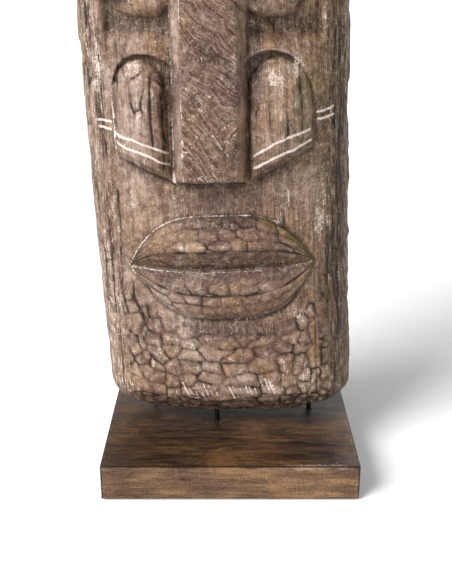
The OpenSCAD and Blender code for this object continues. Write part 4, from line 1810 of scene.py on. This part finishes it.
@dataclass
class Plinth:
    """The mitred box: five boards with eased edges, and what is inside it."""

    ease: float = 0.7
    grid: float = 9.0
    rim: float = 1.8
    sway: float = 0.3
    worn_x: float = 104.0
    top_finish: WaxedBoard = WaxedBoard(Grain.ALONG_X)
    front_finish: WaxedBoard = WaxedBoard(Grain.ALONG_X, dark=(76, 55, 43), middle=(118, 92, 71),
                                          light=(152, 120, 90), bloom=(86, 64, 58), amber=(152, 112, 76),
                                          contrast=0.72)
    side_finish: WaxedBoard = WaxedBoard(Grain.ALONG_Y, dark=(58, 41, 32), middle=(98, 73, 56),
                                         light=(130, 100, 74), bloom=(86, 66, 58))

    def __post_init__(self) -> None:
        """Takes the box's corners from the frame."""
        self.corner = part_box("top_board")[1]

    def saw(self, bm: bmesh.types.BMesh, outward: Vector) -> None:
        """Cuts a block along its mitres, each of which passes through one of the box's edges.

        Args:
            bm: the block.
            outward: the way that its outer face looks.
        """
        for axis in range(3):
            for sign in (-1, 1):
                way = Vector(sign * (k == axis) for k in range(3))
                if abs(way.dot(outward)) > 0.5 or way.z < 0:
                    continue
                edge = Vector(self.corner[k] * (outward[k] + way[k]) for k in range(3))
                edge.z = self.corner.z if way.z or outward.z else edge.z
                cut = bmesh.ops.bisect_plane(bm, geom=[*bm.verts, *bm.edges, *bm.faces], dist=1e-7,
                                             plane_co=edge, plane_no=(way - outward).normalized(),
                                             clear_outer=True)
                rim = [e for e in cut["geom_cut"] if isinstance(e, bmesh.types.BMEdge)]
                bmesh.ops.edgenet_fill(bm, edges=rim)

    def board(self, side: Side) -> bpy.types.Object:
        """Makes one board: sawn, eased at its edges and a little uneven.

        Args:
            side: which side of the plinth.

        Returns:
            The board.
        """
        name, outward = side.value[0], Vector(side.value[1])
        low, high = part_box(name)
        size = high - low
        bm = bmesh.new()
        block = Matrix.Translation((low + high) / 2) @ Matrix.Diagonal((*size, 1.0))
        bmesh.ops.create_cube(bm, size=1.0, matrix=block)
        self.saw(bm, outward)
        bmesh.ops.recalc_face_normals(bm, faces=bm.faces)
        bmesh.ops.bevel(bm, geom=bm.edges[:], offset=self.ease * MM, segments=3, profile=0.5, affect="EDGES",
                        material=-1)
        for axis in range(3):
            along = Vector(n == axis for n in range(3))
            cuts = int(size[axis] / (self.grid * MM))
            places = [size[axis] * k / cuts for k in range(1, cuts)]
            for place in [self.rim * MM, *places, size[axis] - self.rim * MM]:
                bmesh.ops.bisect_plane(bm, geom=[*bm.verts, *bm.edges, *bm.faces], dist=1e-7,
                                       plane_co=low + along * place, plane_no=along)
        piece = close_mesh(bm, name.replace("_board", "_panel"))
        place = np.array([v.co for v in piece.data.vertices]) / MM
        x, y, z = place.T
        wave = self.sway * np.abs(rough((x + z) / 60, (y + 2 * z) / 60, 201, 3))
        for vert, move in zip(piece.data.vertices, wave):
            vert.co -= outward * (move * MM)
        ends = [self.corner[k] / MM - np.abs(place[:, k]) for k in range(2)] + [self.corner.z / MM - z]
        arris = np.minimum.reduce([np.hypot(ends[j], ends[k]) for j, k in ((0, 1), (0, 2), (1, 2))])
        store(piece, "edge", arris)
        store(piece, "wear", 0.42 + 0.3 * bell(x - self.worn_x, 34) - 0.1 * bell(x + 20, 60))
        return piece

    def build(self) -> None:
        """Makes the boards and dresses the pieces inside."""
        finishes = {Side.TOP: self.top_finish, Side.LEFT: self.side_finish, Side.RIGHT: self.side_finish}
        for side in Side:
            name = side.value[0]
            material = finishes.get(side, self.front_finish).material(name + "_wood")
            dress(self.board(side), material, "base", "plinth_wood", name)
        block = RawWood("block_wood").material()
        zinc = Steel("screw_steel", (150, 144, 120), (206, 200, 178), (0.22, 0.42)).material()
        plywood = RawWood("plywood", (206, 176, 134), (170, 136, 96), 900.0).material()
        inside = {"pin_block": block, "block_screws": zinc, "panel_screws": zinc,
                  "felt_sheet": PressedFelt().material(), "bottom_panel": plywood}
        inside.update({f"corner_block_{k}": block for k in range(1, 5)})
        for name, material in inside.items():
            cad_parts[name].data.materials.clear()
            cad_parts[name].data.materials.append(material)


@dataclass
class Pins:
    """The three blackened rods, each turned from a profile, with a fillet of glue at its foot."""

    sides: int = 40
    fillet: float = 0.9
    tip: float = 1.2
    finish: Steel = Steel("black_steel", (16, 14, 14), (44, 40, 38), (0.32, 0.55), 0.85)

    def build(self) -> None:
        """Turns each rod and puts it on the base."""
        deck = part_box("top_board")[1].z
        material = self.finish.material()
        for name in ("front_pin", "right_pin", "left_pin"):
            low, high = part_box(name)
            r, tip, ring = (high.x - low.x) / 2, self.tip * MM, self.fillet * MM
            centre = Vector(((low.x + high.x) / 2, (low.y + high.y) / 2, 0))
            profile = [(0.0, low.z), (r - tip, low.z), (r, low.z + tip), (r, deck - ring),
                       (r + ring, deck + 0.1 * MM), (r + 0.35 * ring, deck + 0.7 * ring),
                       (r, deck + 2.2 * ring), (r, high.z - tip), (r - 0.25 * tip, high.z - 0.35 * tip),
                       (r - tip, high.z), (0.0, high.z)]
            bm = bmesh.new()
            verts = [bm.verts.new(centre + Vector((x, 0, z))) for x, z in profile]
            edges = [bm.edges.new(pair) for pair in zip(verts, verts[1:])]
            bmesh.ops.spin(bm, geom=[*verts, *edges], cent=centre, axis=(0, 0, 1), angle=2 * math.pi,
                           steps=self.sides, use_merge=True)
            dress(close_mesh(bm, name.replace("_pin", "_rod")), material, "base", "pin_steel", name)


# ---- the scene ---------------------------------------------------------------------------------


@dataclass(frozen=True)
class Lamp:
    """One far, soft light: the way it shines, its strength and how wide it looks."""

    name: str
    way: Colour
    strength: float
    width: float
    gleam: float = 1.0


@dataclass
class Studio:
    """Camera, pale floor and soft light."""

    ahead: float = 0.898
    above: float = 0.546
    aside: float = -0.0049
    pitch: float = 20.3
    lens: float = 55.4
    floor_size: float = 80.0
    lamps: tuple[Lamp, ...] = (Lamp("key", (0.66, 0.52, -0.62), 4.6, 34.0),
                               Lamp("back", (-0.25, -0.85, -0.45), 1.3, 50.0, 0.2))
    sky_high: float = 0.16
    sky_low: float = 1.05

    def camera(self) -> None:
        """Looks down at the lower half of the figure."""
        data = bpy.data.cameras.new("camera")
        data.lens, data.sensor_width = self.lens, 36.0
        made = bpy.data.objects.new("camera", data)
        low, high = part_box("top_board")
        made.location = (self.aside, low.y - self.ahead, high.z + self.above)
        made.rotation_euler = (math.radians(90 - self.pitch), 0, 0)
        bpy.context.scene.collection.objects.link(made)
        bpy.context.scene.camera = made

    def floor(self) -> None:
        """A wide pale floor at the plinth's underside."""
        bm = bmesh.new()
        bmesh.ops.create_grid(bm, x_segments=2, y_segments=2, size=self.floor_size / 2)
        piece = close_mesh(bm, "floor")
        g = Graph("pale_floor")
        shade = g.noise(g.place(), scale=3.0, detail=2.0)
        colour = g.ladder(shade, [(0.3, (244, 244, 243)), (0.7, (248, 248, 247))])
        piece.data.materials.append(g.finish(colour, 0.9))

    def light(self, lamp: Lamp) -> None:
        """Adds one far light.

        Args:
            lamp: the lamp's sizes.
        """
        data = bpy.data.lights.new(lamp.name, "SUN")
        data.energy, data.angle = lamp.strength, math.radians(lamp.width)
        data.specular_factor = lamp.gleam
        made = bpy.data.objects.new(lamp.name, data)
        made.rotation_euler = Vector(lamp.way).to_track_quat("-Z", "Y").to_euler()
        bpy.context.scene.collection.objects.link(made)

    def sky(self) -> None:
        """White round the horizon, so that it meets the floor, and dimmer overhead."""
        world = bpy.data.worlds.new("studio")
        world.use_nodes = True
        nodes, links = world.node_tree.nodes, world.node_tree.links
        split, height = nodes.new("ShaderNodeSeparateXYZ"), nodes.new("ShaderNodeMapRange")
        links.new(nodes.new("ShaderNodeTexCoord").outputs["Generated"], split.inputs[0])
        links.new(split.outputs["Z"], height.inputs["Value"])
        settings = {"From Min": 0.12, "From Max": 0.6, "To Min": self.sky_low, "To Max": self.sky_high}
        for key, value in settings.items():
            height.inputs[key].default_value = value
        links.new(height.outputs["Result"], nodes["Background"].inputs["Strength"])
        nodes["Background"].inputs["Color"].default_value = (1.0, 1.0, 1.0, 1.0)
        bpy.context.scene.world = world

    def build(self) -> None:
        """Sets up the whole scene round the object."""
        self.camera()
        self.floor()
        for lamp in self.lamps:
            self.light(lamp)
        self.sky()
        bpy.context.scene.view_settings.view_transform = "Standard"


def main() -> None:
    """Builds every piece round the frame."""
    logging.basicConfig(level=logging.INFO, format="%(name)s: %(message)s")
    Studio().build()
    Plinth().build()
    Pins().build()
    CarvedFigure().build()


if __name__ == "__main__":
    main()
